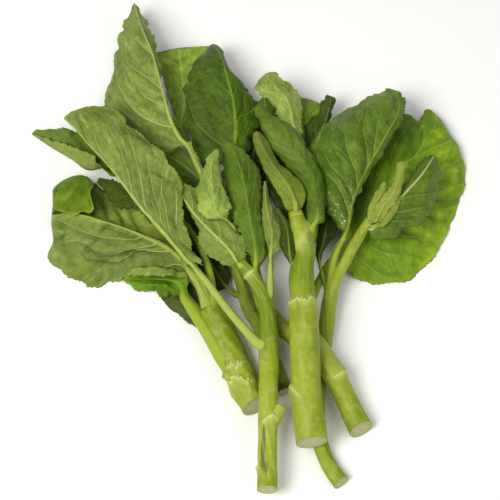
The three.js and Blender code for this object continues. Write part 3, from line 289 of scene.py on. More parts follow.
        [(17.6, 14.8, 36.5), (20.6, 14.2, 38), (24.2, 14.1, 37)],
        [(15.2, 20.6, 36.5), (16.8, 21, 37.4), (18.8, 21.6, 36.8)],
    ],
), dict(
    name="centre_leaf", faces="upper", rib=1, vein=0.25, pucker=0.7, lean=0.45, tooth=3, tooth_period=5,
    step=0.7, ruffle=0.6, rib_end=0.12, thinning=1.2, crinkle=0.3, rib_show=0.3, vein_show=0.4,
    shade=1.05,
    petiole=[(4, -18, 15.5), (3.4, -17.2, 21), (3.2, -15.5, 27), (3.3, -13, 32.5)],
    radius=[3, 2.2, 1.6],
    rows=[
        [(-0.5, -6.8, 33), (3.5, -10.1, 35), (8.6, -7.8, 33)],
        [(-3.2, 0.5, 33.5), (3, -0.3, 38), (9.4, 0.2, 33)],
        [(-8.8, 13.8, 34), (0.5, 11.3, 41.5), (7.4, 13.1, 34.5)],
        [(-11, 25.3, 34), (-1.5, 23.7, 43), (6.5, 27.1, 34.5)],
        [(-15.6, 37.8, 34), (-3.5, 35.5, 43.5), (7.6, 40.1, 34.5)],
        [(-17.6, 48, 33.5), (-6, 47.2, 43), (4.8, 52.6, 34.5)],
        [(-16.9, 59, 32.5), (-10, 58.8, 39), (-1.5, 61.3, 34)],
        [(-16.2, 67.2, 32), (-13, 66.9, 35), (-9.5, 67.3, 33.5)],
    ],
    bites=[(-1, 85, 1.6, 1.4), (-1, 72, 1.5, 1.9), (-1, 62, 1.5, 1.6), (1, 88, 1.5, 1.2)],
), dict(
    name="right_leaf", faces="upper", rib=2, lean=0.3, pucker=1.6, tooth=2.4, tooth_period=4.4, step=0.9,
    auto=0.35, auto_show=0.4, rib_end=0.15, thinning=1.3, crinkle=0.4, shade=1.05, water_and_glint=1,
    petiole=[(49, -21, 14.5), (50.5, -8, 17.5), (53, 0, 21.5), (56, 5, 26.8)],
    radius=[2.9, 2.5, 1.6],
    rows=[
        [(57.6, 9.8, 30), (58.3, 8.8, 31.5), (59.2, 9.1, 31.2), (60.2, 11, 29.8)],
        [(47.4, 21.6, 31), (53.5, 21.1, 37), (62.4, 25.3, 34), (64.2, 28.6, 30.8)],
        [(44.8, 36.6, 31), (55, 35.9, 40), (67, 38.4, 35), (69.2, 40.1, 31)],
        [(40, 50, 30), (55, 49.1, 42), (72.5, 49.6, 37), (75.8, 51.5, 32.5)],
        [(38, 66, 30), (57, 64.1, 42), (79.5, 61.6, 39.5), (84.2, 63.3, 34)],
        [(46.5, 78.7, 29.5), (63, 76, 41), (85, 71.7, 40.5), (90.2, 74.9, 35)],
        [(60.5, 95.6, 28), (74, 90.1, 37), (90.5, 81.8, 39), (95.2, 85.6, 34.5)],
        [(74, 103.4, 25.5), (83, 99.7, 32), (94, 92.2, 35.5), (98, 95.2, 32)],
        [(86.5, 110.3, 23), (90, 107.9, 26), (93.8, 105.6, 28.5), (97, 105.8, 28)],
    ],
    lines=[
        [(0, 66), (-7, 78), (-15, 87), (-20, 94), (-23, 100), (-31, 107)],
        [(0, 74), (-1, 83), (-5, 91), (-10, 99), (-15, 107), (-18, 117)],
        [(0, 88), (-5, 102), (-9, 113)],
        [(0, 58), (-5, 65), (-12, 72), (-22, 80), (-33, 91)],
        [(0, 48), (-10, 63), (-18, 72), (-28, 80)],
    ],
    creases=[(-4, 60, -24, 92, 2.5, 1.6), (-3, 84, -12, 112, 2.5, 1.6)],
), dict(
    name="right_small_leaf", faces="upper", rib=1, veins=5, upper="upper_ribbed", tooth=2.2, auto=0.3,
    auto_show=0.3, rib_end=0.3, thinning=0.7, shade=0.96, lobe=1.6,
    petiole=[(69, 14, 26), (72, 14.5, 27.5)],
    radius=[1.8, 1.6, 1.2],
    rows=[
        [(72, 14.2, 27), (73.5, 12.3, 28), (75, 10.7, 27), (75, 7.6, 25)],
        [(80, 23.7, 27), (81.5, 18.8, 30.5), (84, 13.8, 28), (86, 8.9, 24)],
        [(87, 33.2, 27), (89, 27.2, 32), (94, 20.6, 28.5), (98, 14.7, 22)],
        [(94.5, 41.7, 27), (96.5, 36, 32.5), (103, 28.6, 28.5), (108.5, 23.6, 21)],
        [(102, 51.1, 26), (104.5, 45.4, 31.5), (110, 38.8, 28), (114.8, 35.6, 21)],
        [(108, 59.4, 24), (110.5, 54.4, 29), (114.5, 49.6, 26), (117.5, 46.8, 20.5)],
        [(112.5, 65.4, 21.5), (115, 62.9, 24), (117.3, 59.7, 22), (119, 57, 20)],
    ],
    lines=[
        [(0, 24), (2, 36), (11, 50), (15, 56)],
        [(0, 34), (-3, 44), (-6, 52), (-5, 64)],
        [(0, 20), (9, 34), (16, 44)],
        [(0, 14), (9, 25), (17, 33)],
    ],
), dict(
    name="top_pale_leaf", faces="under", rib=1, veins=4, vein=0.3, tooth=2.8, tooth_period=7, step=0.8,
    ruffle=0.6, rib_show=0.35, pucker=0.8, auto_show=0.15, shade=1.32,
    petiole=[(34, 1, 30), (36, 14, 27), (33, 40, 25.5), (30, 70, 28.5)],
    radius=[2.8, 2.4, 1.8],
    rows=[
        [(23.5, 76, 30), (28.5, 75.4, 31.5), (33, 77.8, 28)],
        [(18.5, 85, 30), (26.5, 84.7, 33), (33.2, 87.5, 27.5)],
        [(16.2, 93, 30), (25.5, 92.3, 34), (33.4, 95.7, 27)],
        [(11.5, 100, 30), (23, 99.8, 34), (32.4, 102.9, 26.5)],
        [(5, 105.4, 29.5), (18.5, 106, 33.5), (30.4, 108.7, 26.5)],
        [(1.6, 109.6, 29), (13, 112.5, 32.5), (26, 114.4, 26.5)],
        [(4.4, 115.3, 28), (11.5, 117.3, 30.5), (20, 119.2, 26.5)],
        [(9.2, 120.6, 27), (12.3, 121.4, 28), (17.2, 122.4, 26.5)],
    ],
    bites=[(1, 34, 1.5, 1.5), (1, 42, 1.5, 1.8)],
), dict(
    name="tucked_leaf", faces="upper", rib=1,
    petiole=[(32, -8, 29), (27, 8, 25), (21, 40, 22), (15, 78, 23.5)],
    radius=[1.8, 1.5, 1.1],
    rows=[
        [(9.5, 86.4, 24), (14, 85, 25), (18, 85.4, 24)],
        [(5, 93.2, 24.5), (10, 93.6, 26), (17.8, 94.9, 24)],
        [(3.8, 99.8, 24.3), (9.5, 100.2, 25.6), (16.5, 100.9, 24)],
        [(6, 104.9, 24), (9, 105.1, 24.8), (12.5, 104.9, 24)],
    ],
), dict(
    name="lower_left_leaf", faces="under", rib=3, lean=0.3, pucker=1.4, pillow=5, ruffle=2, tooth=2.2,
    tooth_period=4.5, step=0.9, upper="upper_bright", auto=0.25, auto_show=0.3, shade=0.84, rib_end=0.15,
    # the right tint is painted light on the half beyond the midrib, which lies in the shadow of the rolled
    # lobe
    thinning=1.4, rib_show=0.75, right=(1.5, 1.5, 1.2), back=(0.9, 0.88, 0.85),
    petiole=[(-26, -34, 14.5), (-29, -24, 16), (-33, -17, 17.5)],
    radius=[4, 3.4, 2.6],
    rows=[
        [(-37, -15, 14), (-37.2, -13.5, 15.5), (-37.8, -11.5, 17.5), (-38.5, -9.5, 18.5),
         (-37, -7.5, 17.8), (-35, -5, 16.5), (-33, -2.5, 15)],
        [(-50, -7, 13.5), (-50.3, -4.5, 16.5), (-50.8, -1.5, 20), (-51, 2.5, 21), (-49, 6.5, 18),
         (-46.5, 11, 14), (-44, 16, 10)],
        [(-66, -5.5, 12.5), (-66, -1.5, 15), (-66, 3.5, 20), (-65, 9.5, 23), (-63.5, 14.5, 16),
         (-62, 20, 12), (-60, 28, 9)],
        [(-83, -13, 5), (-82, -7.5, 8.5), (-81, 1.5, 20.5), (-80, 16, 24), (-78.5, 20.5, 15),
         (-77, 28, 12), (-76, 36, 11)],
        [(-99, -15.5, 1), (-98, -6.25, 7.5), (-97, 2, 18), (-95, 21, 24), (-95, 29, 14), (-96, 41.5, 12),
         (-91.5, 48.5, 13)],
        [(-104, -14.5, 1), (-103, -5.2, 7.5), (-102, 4, 17.3), (-100, 22.7, 23.6), (-101, 33.5, 12.5),
         (-103, 49.5, 14), (-97, 41, 24)],
        [(-109, -12, 1), (-108, -3.9, 7.5), (-107, 6, 16.5), (-105, 24, 23), (-105, 38, 11.5),
         (-105, 53, 15.5), (-98.5, 26, 28.5)],
        [(-119, -5, 1), (-118.5, 1.4, 8), (-116.5, 12, 15.5), (-113, 26, 20.5), (-113, 38, 12),
         (-114.5, 52, 15.5), (-109, 23.5, 27.5)],
        [(-126, 5, 1), (-124.5, 11, 7), (-122.5, 19, 12), (-120, 27, 16), (-120, 34, 11.5),
         (-123, 45, 14), (-116.5, 26, 22)],
        [(-127, 16, 2), (-126, 19, 7), (-125, 23, 10.5), (-123.5, 28, 13.5), (-123, 32, 12),
         (-123, 36, 14), (-120.5, 29, 18)],
    ],
    bites=[(1, 96, 3, 1.6), (1, 108, 2.5, 2.2), (-1, 100, 3, 1.8), (-1, 84, 2.5, 1.5), (-1, 112, 3, 1.8),
        (-1, 54, 9, -3.6)],
    lines=[
        [(0, 62), (-5, 70), (-9, 84), (-10, 98), (-7, 110), (-3, 120)],
        [(0, 52), (-7, 62), (-13, 72), (-20, 80), (-22, 88), (-17, 97), (-16, 106), (-19, 114)],
        [(0, 42), (-5, 52), (-10, 64), (-17, 70), (-25, 80), (-27, 92), (-23, 100)],
        [(0, 30), (-8, 42), (-16, 52)],
    ],
    creases=[(-3, 96, -2, 58, 2.5, 2.4), (-19, 102, -23, 82, 2.2, 3.4), (-23, 84, -10, 60, 2.4, 3.6),
        (-11, 104, -13, 74, 2.6, 2.6), (-27, 98, -28, 78, 2.2, 3), (12, 97, 32, 101, 2, 4),
        (11, 87, 30, 93, 2, 4), (11, 77, 28, 87, 2, 3.5), (9, 66, 24, 76, 2, 3),
        (-32, 80, -20, 54, 3.6, 1.2), (-6, 118, -34, 106, 2.5, 2.2)],
), dict(
    name="curled_leaf", faces="upper", rib=2, veins=5, upper="upper_bright", pucker=0.8, tooth=1.8,
    tooth_period=5, auto_show=0.4, left=(0.86, 1, 0.66), right=(0.86, 1, 0.66), ruffle=2,
    ruffle_period=16, crinkle=0.8,
    petiole=[(-9, -75, 10.5), (-16, -65.2, 13), (-21, -56.1, 14), (-27, -45.9, 13.5), (-33.3, -35.6, 12),
        (-39.6, -26, 9.8)],
    radius=[4.5, 5.2, 5.2, 4.8, 4.5, 3.6],
    rows=[
        [(-44.5, -22.4, 5), (-44.8, -18.9, 7.5), (-44.5, -15.4, 7.5), (-39.5, -11.6, 14),
         (-39.2, -15.2, 15.5)],
        [(-51.5, -23.3, 3.4), (-51.5, -16.3, 9.5), (-50.5, -11.9, 5), (-46.5, -9.2, 17.5),
         (-46.8, -14.4, 17)],
        [(-58.5, -21.1, 2.8), (-59, -15.8, 9.5), (-58.5, -11.2, 4.5), (-55.5, -8, 18),
         (-56, -13.3, 16.8)],
        [(-65, -18, 2.6), (-65.8, -15.2, 8.5), (-65.8, -11.2, 4.5), (-65, -7.6, 16.5),
         (-65, -13.1, 14.8)],
        [(-71.5, -17.3, 2.6), (-72.3, -14.5, 6.5), (-72.4, -11.9, 4.5), (-72.5, -8, 13),
         (-72.6, -12.1, 11.8)],
        [(-76.5, -13.9, 3), (-77, -13.1, 4.5), (-77.3, -11.9, 4.5), (-77.8, -9.4, 8),
         (-77.8, -11.4, 7.7)],
    ],
    creases=[(-5, 99, -4, 70, 2, 3), (-11, 96, -12, 72, 2, 2.2)],
), dict(
    name="shaded_left_leaf", faces="upper", rib=1, veins=5, upper="upper_bright", tooth=2.6,
    # its low shade is painted shade for a leaf lying in shadow between the front-left and lower-left leaves
    tooth_period=4.5, shade=0.32, rib_show=0.2, auto_show=0.4, step=0.8,
    petiole=[(-24, -31, 17), (-32, -14, 22), (-44, 2, 23.5), (-58, 17, 23), (-61, 21, 22.5)],
    radius=[2, 1.6, 1.2],
    rows=[
        [(-60, 18, 20), (-62, 24, 22), (-64, 30, 22)],
        [(-72, 30, 20.5), (-72, 36, 22), (-72, 42, 21)],
        [(-83, 30.8, 19.5), (-81, 41, 21), (-80, 48, 20)],
        [(-90, 39, 18), (-89, 45, 19.5), (-88, 51, 19)],
        [(-93.2, 45.5, 17), (-94.8, 48.4, 17.6), (-94.2, 51.6, 17.2)],
    ],
), dict(
    name="far_left_leaf", faces="under", rib=1, moved=(2, -3, 0), lean=0.45, crinkle=0.3, pucker=0.9,
    auto_show=0.6, shade=0.92,
    petiole=[(-22, -34, 18), (-25, -12, 22), (-35, 12, 19.5), (-55, 36, 18), (-72, 53, 20)],
    radius=[2.6, 2, 1.4],
    rows=[
        [(-79, 61, 24), (-83, 54, 23), (-86, 52, 27)],
        [(-90, 74, 24), (-93, 60, 23), (-95, 57, 30)],
        [(-102, 83, 24), (-104, 59, 22), (-103, 66, 31)],
        [(-114, 85, 25), (-114, 66, 22), (-113, 71, 29)],
        [(-126, 86, 26), (-127, 74, 22), (-125, 76.5, 27.5)],
        [(-135, 85, 25), (-137.5, 81, 23), (-136.5, 80.5, 26)],
    ],
), dict(
    name="top_left_leaf", faces="under", rib=2, veins=5, lean=0.42, bend=1.3, pucker=1.4, pillow=6,
    rolling=2, crinkle=0.25, tooth=1.7, tooth_period=4.5, step=0.9, auto=0.3, auto_show=0.45, rib_end=0.5,
    thinning=1.3, stem=0.68, tip_reach=0.12,
    petiole=[(-9, -3, 8), (-16, 18, 14), (-24, 38, 21), (-32, 54, 27), (-40, 69, 30.5)],
    radius=[3, 2.4, 2],
    rows=[
        [(-56, 66, 20), (-50, 68, 27), (-44, 73, 31), (-41.5, 74, 26)],
        [(-79, 75, 14), (-65, 79, 25), (-50, 85, 33), (-47.5, 85, 25)],
        [(-93, 92, 10), (-75, 95, 26), (-54, 99, 36), (-53, 99, 25)],
        [(-95, 112, 8), (-77, 114, 28), (-58, 114, 38), (-57, 114, 27)],
        [(-92, 130, 8), (-76, 131, 27), (-62, 129, 38), (-58.5, 129, 26)],
        [(-90, 150, 8), (-77, 149, 26), (-68, 145, 36), (-61.5, 145, 26)],
        [(-85, 165, 9), (-77, 164, 24), (-73, 161, 31), (-66.5, 160, 24)],
        [(-81.5, 174.5, 12), (-78.5, 176.5, 18), (-76.5, 177, 21), (-73, 174.5, 19)],
    ],
    bites=[(1, 84, 5, -2.5)],
    lines=[
        [(0, 122), (-8, 132), (-14, 138), (-22, 147), (-25, 155), (-24, 161), (-17, 172)],
        [(0, 96), (-12, 106), (-19, 113), (-24, 120), (-29, 129), (-36, 140), (-37, 146), (-31, 152)],
        [(-7, 116), (-13, 122), (-16, 126)],
        [(0, 148), (-7, 158), (-12, 168), (-13, 176)],
    ],
    creases=[(-3, 112, -12, 142, 2.5, 1.5), (-20, 100, -40, 122, 4, 2.2), (-28, 132, -34, 160, 2.5, 1.2)],
), dict(
    name="top_leaf", faces="upper", rib=2, veins=5, lean=0.4, upper="upper_dark", pucker=1.6, tooth=1,
    auto=0.4, auto_show=0.5, rib_end=0.15, thinning=1.2, rib_show=0.6, right=(1.2, 1.32, 0.75),
    petiole=[(3, -10, 16), (-4, 15, 17), (-8, 40, 19), (-10, 58, 22)],
    radius=[3, 2.4, 1.8],
    rows=[
        [(-28, 62, 18), (-20, 64, 22), (-10, 68, 24), (-5, 70, 22), (0, 72, 18)],
        [(-36, 75, 18), (-24, 78, 24), (-9, 83, 28), (-3, 84, 24), (4, 86, 18)],
        [(-41, 95, 18), (-27, 98, 26), (-10.5, 99, 31), (-3, 100, 26), (6, 103.3, 18)],
        [(-42, 112, 17), (-29, 114, 27), (-14, 114, 32), (-7, 112, 27), (-2.5, 112.3, 20)],
        [(-40, 124, 16), (-30, 127, 25), (-18, 130, 31), (-15, 126, 28), (-11, 120, 24)],
        [(-34, 137, 16), (-28, 139, 21), (-22, 141, 26), (-19, 139, 25), (-17.5, 134, 23)],
        [(-28, 147, 15), (-25, 147.5, 18), (-23.5, 147, 20), (-21, 145, 21), (-18.5, 141, 21)],
    ],
    lines=[
        [(0, 74), (-5, 83), (-17, 95), (-26, 106), (-31, 118)],
        [(0, 96), (3, 102), (8, 108), (9, 116)],
        [(3, 102), (12, 107), (19, 113)],
    ],
    creases=[(-12, 84, -22, 128, 3, 2.2), (5, 88, 10, 132, 3, 1.8)],
), dict(
    name="narrow_back_leaf", faces="upper", rib=1, veins=4, upper="upper_dark", tooth=0.8, round_tip=0,
    shade=0.75,
    petiole=[(35, -4, 29), (40, 12, 23), (40, 35, 20), (36, 60, 20.5)],
    radius=[2, 1.7, 1.2],
    rows=[
        [(35.5, 73.4, 19), (38, 71.4, 21.5), (39.5, 71.7, 19.5)],
        [(34, 83.2, 17), (42.5, 79.2, 22), (45.5, 80.2, 19.5)],
        [(38, 92.4, 16.5), (47.5, 88, 22.5), (50, 88.2, 19.5)],
        [(43, 100.6, 16), (50, 96.7, 22), (52.5, 95.9, 19)],
        [(47, 107.6, 16), (51.5, 104, 20), (54.5, 102.8, 18)],
        [(49, 111.1, 16), (52.3, 109.3, 17.5), (55.5, 106.7, 17)],
    ],
), dict(
    name="big_right_leaf", faces="upper", rib=2, veins=7, lean=0.2, upper="upper_bright", ruffle=0.7,
    ruffle_period=30, pucker=1.2, pillow=5, crinkle=0.3, rolling=1, tooth=1.5, tooth_period=4.5, step=0.9,
    # the right tint is painted light on the half turned away from the lamps; the darker foot is painted
    # shade on the part near the petiole
    lobe=1, auto=0.2, auto_show=0.3, rib_end=0.15, right=(1.34, 1.34, 0.96), left=(0.82, 0.9, 0.66),
    foot=(0.64, 0.7, 0.52),
    petiole=[(32, -44, 31), (38, -28, 17), (43, -15, 12), (49, -3, 9.5), (56, 4, 10)],
    radius=[3, 2.6, 2],
    rows=[
        [(56, 14, 10), (58, 10, 11), (61, 7, 12), (62, 0, 9), (61, -6, 5)],
        [(60, 38, 10), (65, 30, 13), (72, 24, 15), (78, 7, 11), (75, -13, 1.2)],
        [(70, 62, 10), (76, 52, 15), (84, 41, 18), (96, 17, 13), (99, -10, 1)],
        [(82, 82, 10), (87, 70, 16), (95.6, 58, 20), (109, 33, 15), (117, 7, 1)],
        [(94.5, 103, 10), (97, 87, 15), (105.6, 67.6, 20), (118, 49, 14), (129, 31, 1)],
        [(102.5, 99.4, 11), (107, 92, 14), (113, 80, 18), (125, 65, 12), (138.2, 57, 1.4)],
        [(109.2, 95.6, 10.6), (113.6, 94.4, 13), (119, 89.9, 14), (128, 83, 10), (137, 76, 3)],
        [(113, 102, 9), (115.5, 103, 9.5), (118.5, 101.5, 9.5), (122, 98, 8.5), (127, 93, 5)],
    ],
    lines=[
        [(0, 140), (9, 161), (14, 172), (16, 180)],
        [(0, 146), (-6, 159), (-16, 160)],
        [(0, 112), (-4, 124), (-11, 130), (-18, 139), (-20, 152)],
        [(6, 130), (22, 145), (24, 154), (29, 164)],
        [(12, 120), (26, 138), (32, 149), (39, 157)],
        [(14, 108), (34, 132), (38, 139), (45, 150)],
        [(0, 68), (6, 78), (15, 84), (27, 93), (37, 102), (47, 112), (55, 118)],
        [(27, 93), (33, 97), (39, 98)],
        [(0, 62), (8, 70), (16, 76), (29, 85), (41, 93), (48, 100)],
        [(10, 88), (20, 100), (31, 109), (44, 123)],
    ],
    creases=[(20, 128, 44, 152, 2.2, 3.2), (16, 116, 50, 142, 2.4, 3.4), (22, 104, 54, 130, 2.2, 3),
        (16, 138, 36, 160, 2, 2.2), (-2, 132, -20, 158, 4, 2.6)],
), dict(
    name="back_bright_leaf", faces="upper", rib=1, veins=4, upper="upper_bright", shade=0.9,
    petiole=[(33, -14, 29), (33, 4, 20), (32, 30, 13), (33, 60, 13.5)],
    radius=[2.4, 2, 1.4],
    rows=[
        [(28, 76, 14), (34, 78, 17), (39, 80, 15)],
        [(28, 90, 14), (35, 90, 18), (42, 91, 15)],
        [(28, 102, 13), (37, 101, 17), (46, 101, 14)],
        [(30, 111, 12), (38, 108.5, 14), (47, 104.5, 13)],
    ],
), dict(
    # Shade leaves: dark leaves laid into the gaps of the bunch, darkened by their shade setting or foot
    # tint as painted shade in place of the shadow there
    name="shade_leaf_right", faces="upper", rib=1, veins=4, upper="upper_dark", shade=0.5,
    petiole=[(48.6, -29, 12.5), (45, -15, 15.2), (42.9, -6.5, 18.2)],
    radius=[1.5, 1.3, 1.1],
    rows=[
        [(40.6, -2.6, 19), (42.6, -2.5, 20), (44.6, -1.1, 19)],
        [(40.6, 6, 20), (45.2, 6.2, 22), (50.4, 8.4, 19)],
        [(41.2, 14.8, 20.5), (47, 15, 22.5), (54, 16.6, 18.5)],
        [(42.5, 24, 20), (48, 24.4, 21.5), (54.5, 24.8, 18)],
        [(44.5, 31.4, 19), (48.5, 32, 20), (52, 31.8, 18)],
    ],
), dict(
    name="shade_leaf_back", faces="under", rib=1, veins=4, under="under_green", shade=1.2,
    left=(0.88, 1, 0.95), right=(0.88, 1, 0.95), auto_show=0.3, foot=(0.5, 0.55, 0.5),
    petiole=[(-10, -4, 8), (-19, 8, 8), (-24, 22, 10), (-20, 34, 12.5)],
    radius=[2, 1.7, 1.2],
    rows=[
        [(-25, 38, 13), (-20, 42, 14), (-16, 47, 13)],
        [(-38, 44, 14), (-32, 52, 17), (-26, 60, 14)],
        [(-50, 54, 15), (-44, 62, 18), (-38, 70, 15)],
        [(-62, 64, 14), (-57, 71, 16), (-52, 79, 14)],
        [(-68, 74, 12), (-66, 77, 13), (-63, 81, 12)],
    ],
), dict(
    name="shade_leaf_middle", faces="upper", rib=1, veins=4, upper="upper_dark", shade=0.42,
    petiole=[(-5, -22, 5.5), (-10, -22, 6.5), (-14, -18, 7.5)],
    radius=[1.8, 1.5, 1.2],
    rows=[
        [(-21, -20, 5.5), (-17, -14, 6), (-12, -10, 5.5)],
        [(-31, -8, 5.5), (-25, 0, 6.5), (-19, 5, 5.5)],
        [(-40, 6, 6), (-33, 14, 7), (-26, 20, 6.5)],
        [(-46, 20, 7), (-39, 28, 8.5), (-32, 33, 8)],
        [(-48, 34, 7), (-43, 40, 8), (-38, 43, 7)],
    ],
), dict(
    name="shade_leaf_centre", faces="upper", rib=1, veins=4, upper="upper_dark", shade=0.42,
    petiole=[(3, -9, 16.5), (10, 4, 14), (10, 24, 13), (5, 42, 13)],
    radius=[1.8, 1.5, 1.2],
    rows=[
        [(-12, 57, 12), (2, 54, 14), (14, 52, 12)],
        [(-12, 70, 12), (2, 68, 15), (18, 66, 12)],
        [(-9, 82, 12), (4, 82, 15), (18, 82, 12)],
        [(-4, 95, 11), (6, 97, 12), (14, 95, 11)],
    ],
), dict(
    name="shade_leaf_front", faces="upper", rib=1, veins=4, upper="upper_dark", shade=0.42,
    petiole=[(28.4, -15, 28.5), (25.6, -2, 28.6), (24.6, 8, 29.8)],
    radius=[1.7, 1.5, 1.2],
    rows=[
        [(21, 15.1, 31), (24.5, 13.9, 31.5), (28.5, 15.5, 30)],
        [(16, 24.7, 32), (24, 22.9, 32.5), (33, 24, 30)],
        [(12.3, 34.7, 32), (21.5, 34, 32.5), (33.5, 34, 30)],
        [(9.6, 44.7, 32), (18.5, 45.2, 32), (30.5, 46.4, 29)],
        [(8.6, 53.6, 31), (15.5, 55.6, 31), (26, 56.6, 28.5)],
        [(8.5, 62.4, 29), (13.5, 63.2, 29.5), (19, 62.8, 28)],
    ],
), dict(
    # its shade of 1.8 is painted light on a leaf lying in the shadow of those above it
    name="top_back_leaf", faces="under", rib=1, veins=5, under="under_green", shade=1.8,
    right=(0.92, 1, 1), left=(0.92, 1, 1), rib_show=0.35, vein_show=0.6, pucker=1,
    petiole=[(-8, -3, 8), (-8, 14, 4.5), (-16, 40, 4.5), (-30, 66, 5.5), (-42, 87, 6.5)],
    radius=[2.4, 2, 1.4],
    rows=[
        [(-52, 94, 6), (-45, 94, 8), (-38, 94, 8)],
        [(-50, 104, 5), (-43, 107, 9), (-32, 107, 9)],
        [(-54, 121, 2.6), (-44, 124, 10), (-28, 124, 9)],
        [(-61, 139, 1.1), (-46, 139, 11), (-26, 139, 8)],
        [(-65, 149, 1.1), (-47, 148, 10), (-26, 151, 7)],
    ],
), dict(
    name="lowest_leaf", faces="under", rib=1, shade=0.4, auto_show=0.4,
    petiole=[(-7, -63, 4.8), (-13, -55, 2.8), (-19, -45, 2.2)],
    radius=[1.6, 1.4, 1.2],
    rows=[
        [(-29.5, -44.8, 1), (-23.5, -42.4, 1.8), (-20, -39.3, 1.4)],
        [(-37.5, -39.5, 0.9), (-29.5, -35.7, 2), (-23, -30.5, 1.4)],
        [(-45.2, -33.1, 0.9), (-36, -27.7, 2), (-29, -21.3, 1.4)],
        [(-52.2, -25.3, 0.9), (-43, -19.7, 2), (-36, -13.2, 2)],
        [(-57.4, -19.2, 1.1), (-49.5, -13.8, 2.2), (-44, -8.3, 2.3)],
    ],
)]

# ---- the usual leaf ----

LEAF_LOOK = dict(
    moved=(0, 0, 0),  # shift of the rows
    step=1.1,  # size of one facet
    veins=6,  # side veins on each side of the midrib
    lean=0.35,  # how far a side vein climbs before it meets the edge, as a share of the blade's length
    bend=1.15,  # above 1 it leaves the midrib squarely and then turns up
    pucker=1.5,  # height of the blade between veins
    pillow=3.0,  # distance from a vein at which that height is reached
    vein=0.42,  # half width of a side vein
    ridge=0.28,  # how far it stands out underneath
    stem=1.0,  # thickness of the petiole and midrib, as a share of the radius given
    rib_end=0.25,  # radius of the midrib at the tip
    round_tip=1.0,  # 0 for a pointed leaf
    tip_reach=0.3,  # how far the tip lies past the last row, as a share of the last spacing
    thinning=2.2,  # how fast the midrib thins along the blade
    flare=0.35,  # how much wider the petiole is at its foot
    crinkle=0.5,  # height of the small waves all over the blade
    ruffle=1.2,  # height of the waves along the edge
    ruffle_period=26.0,
    rolling=1.6,  # height of the longest waves
    tooth=1.1,  # depth of the teeth in the edge
    tooth_period=6.0,
    lobe=0.9,  # depth of the shallow lobes in the edge
    reach=5.0,  # how far in from the edge the teeth are felt
    bites=(),  # (side, millimetres from the petiole's foot, half width, depth) of notches in the edge
    lines=(),  # drawn veins: (millimetres right of the midrib, millimetres from the petiole's foot)
    creases=(),  # (right, along, right, along, half width, depth) of each crease
    auto=1.0,  # share of the puckering that follows the evenly spaced veins, not the drawn ones
    auto_show=1.0,  # how well the evenly spaced veins are seen
    rib_show=1.0,  # strength of the midrib's colour
    vein_show=1.0,  # strength of all veins' colour
    # water on the blade near the petiole, whose drops are also painted pale as highlight specks
    water_and_glint=0.0,  # water on the blade near the petiole
    # shade: the leaf's brightness; partly its own tone, partly painted light on leaves lying in shadow and
    # painted shade on leaves that should look shaded
    shade=1.0,  # brightness
    # left, right and foot: partly the leaf's own colour, partly painted light on parts turned away from the
    # lamps and painted shade on parts lit too strongly
    left=(1.0, 1.0, 1.0),  # tint of the half left of the midrib
    right=(1.0, 1.0, 1.0),
    foot=(1.0, 1.0, 1.0),  # of the part near the petiole
    back=(1.0, 1.0, 1.0),  # of the side turned down, which shows where the leaf rolls over
    upper="upper",  # material of each side
    under="under",
)
# ---- smooth curves and small number helpers ----


def spline(points, t):
    """Centripetal Catmull-Rom curve through points (n, ..., 3), read at every t in 0..1."""
    p = np.asarray(points, float)
    t = np.clip(np.asarray(t, float), 0.0, 1.0)
    place = t * (len(p) - 1)
    i = np.minimum(place.astype(int), len(p) - 2)
    w = (place - i).reshape((-1,) + (1,) * (p.ndim - 1))
    padded = np.concatenate([[2 * p[0] - p[1]], p, [2 * p[-1] - p[-2]]])
    p0, p1, p2, p3 = padded[i], padded[i + 1], padded[i + 2], padded[i + 3]

    def knot(a, b):
        return np.maximum(((a - b) ** 2).sum(-1, keepdims=True), 1e-12) ** 0.25

    d0, d1, d2 = knot(p0, p1), knot(p1, p2), knot(p2, p3)
    out_1 = ((p1 - p0) / d0 - (p2 - p0) / (d0 + d1) + (p2 - p1) / d1) * d1
    out_2 = ((p2 - p1) / d1 - (p3 - p1) / (d1 + d2) + (p3 - p2) / d2) * d1
    c2 = -3 * p1 + 3 * p2 - 2 * out_1 - out_2
    c3 = 2 * p1 - 2 * p2 + out_1 + out_2
    return p1 + out_1 * w + c2 * w ** 2 + c3 * w ** 3


def read_along(values, t):
    values = np.asarray(values, float)
    return np.interp(np.asarray(t) * (len(values) - 1), np.arange(len(values)), values)


def unit(v):
    return v / np.maximum(np.linalg.norm(v, axis=-1, keepdims=True), 1e-12)


def smooth_step(low, high, x):
    t = np.clip((x - low) / (high - low), 0.0, 1.0)
    return t * t * (3 - 2 * t)


def run_length(points):
    """Distance travelled along axis 0 of points, from 0 at the first."""
    steps = np.linalg.norm(np.diff(points, axis=0), axis=-1)
    return np.concatenate([np.zeros((1,) + steps.shape[1:]), np.cumsum(steps, axis=0)])


def wander(x, rng, waves=4):
    """A smooth irregular curve of x (in turns of its longest wave) with values of about -1..1."""
    total = np.zeros_like(np.asarray(x, float))
    for k in range(1, waves + 1):
        turns = k * rng.uniform(0.8, 1.25)
        total = total + np.sin(2 * math.pi * (turns * x + rng.uniform())) / k ** 0.6
    return total / 1.8


def saw(x, rise=0.7):
    """Teeth of height 0..1 and period 1, rising slowly and falling fast."""
    f = x % 1.0
    return np.where(f < rise, f / rise, (1 - f) / (1 - rise))


def even_steps(points, step, fewest, samples):
    """Places (0..1) about one step apart on a curve; then places and distances of its fine samples."""
    dense = np.linspace(0, 1, samples)
    run = run_length(spline(points, dense))
    count = max(int(run[-1] / step), fewest)
    return np.interp(np.linspace(0, 1, count + 1) * run[-1], run, dense), dense, run


# ---- meshes ----


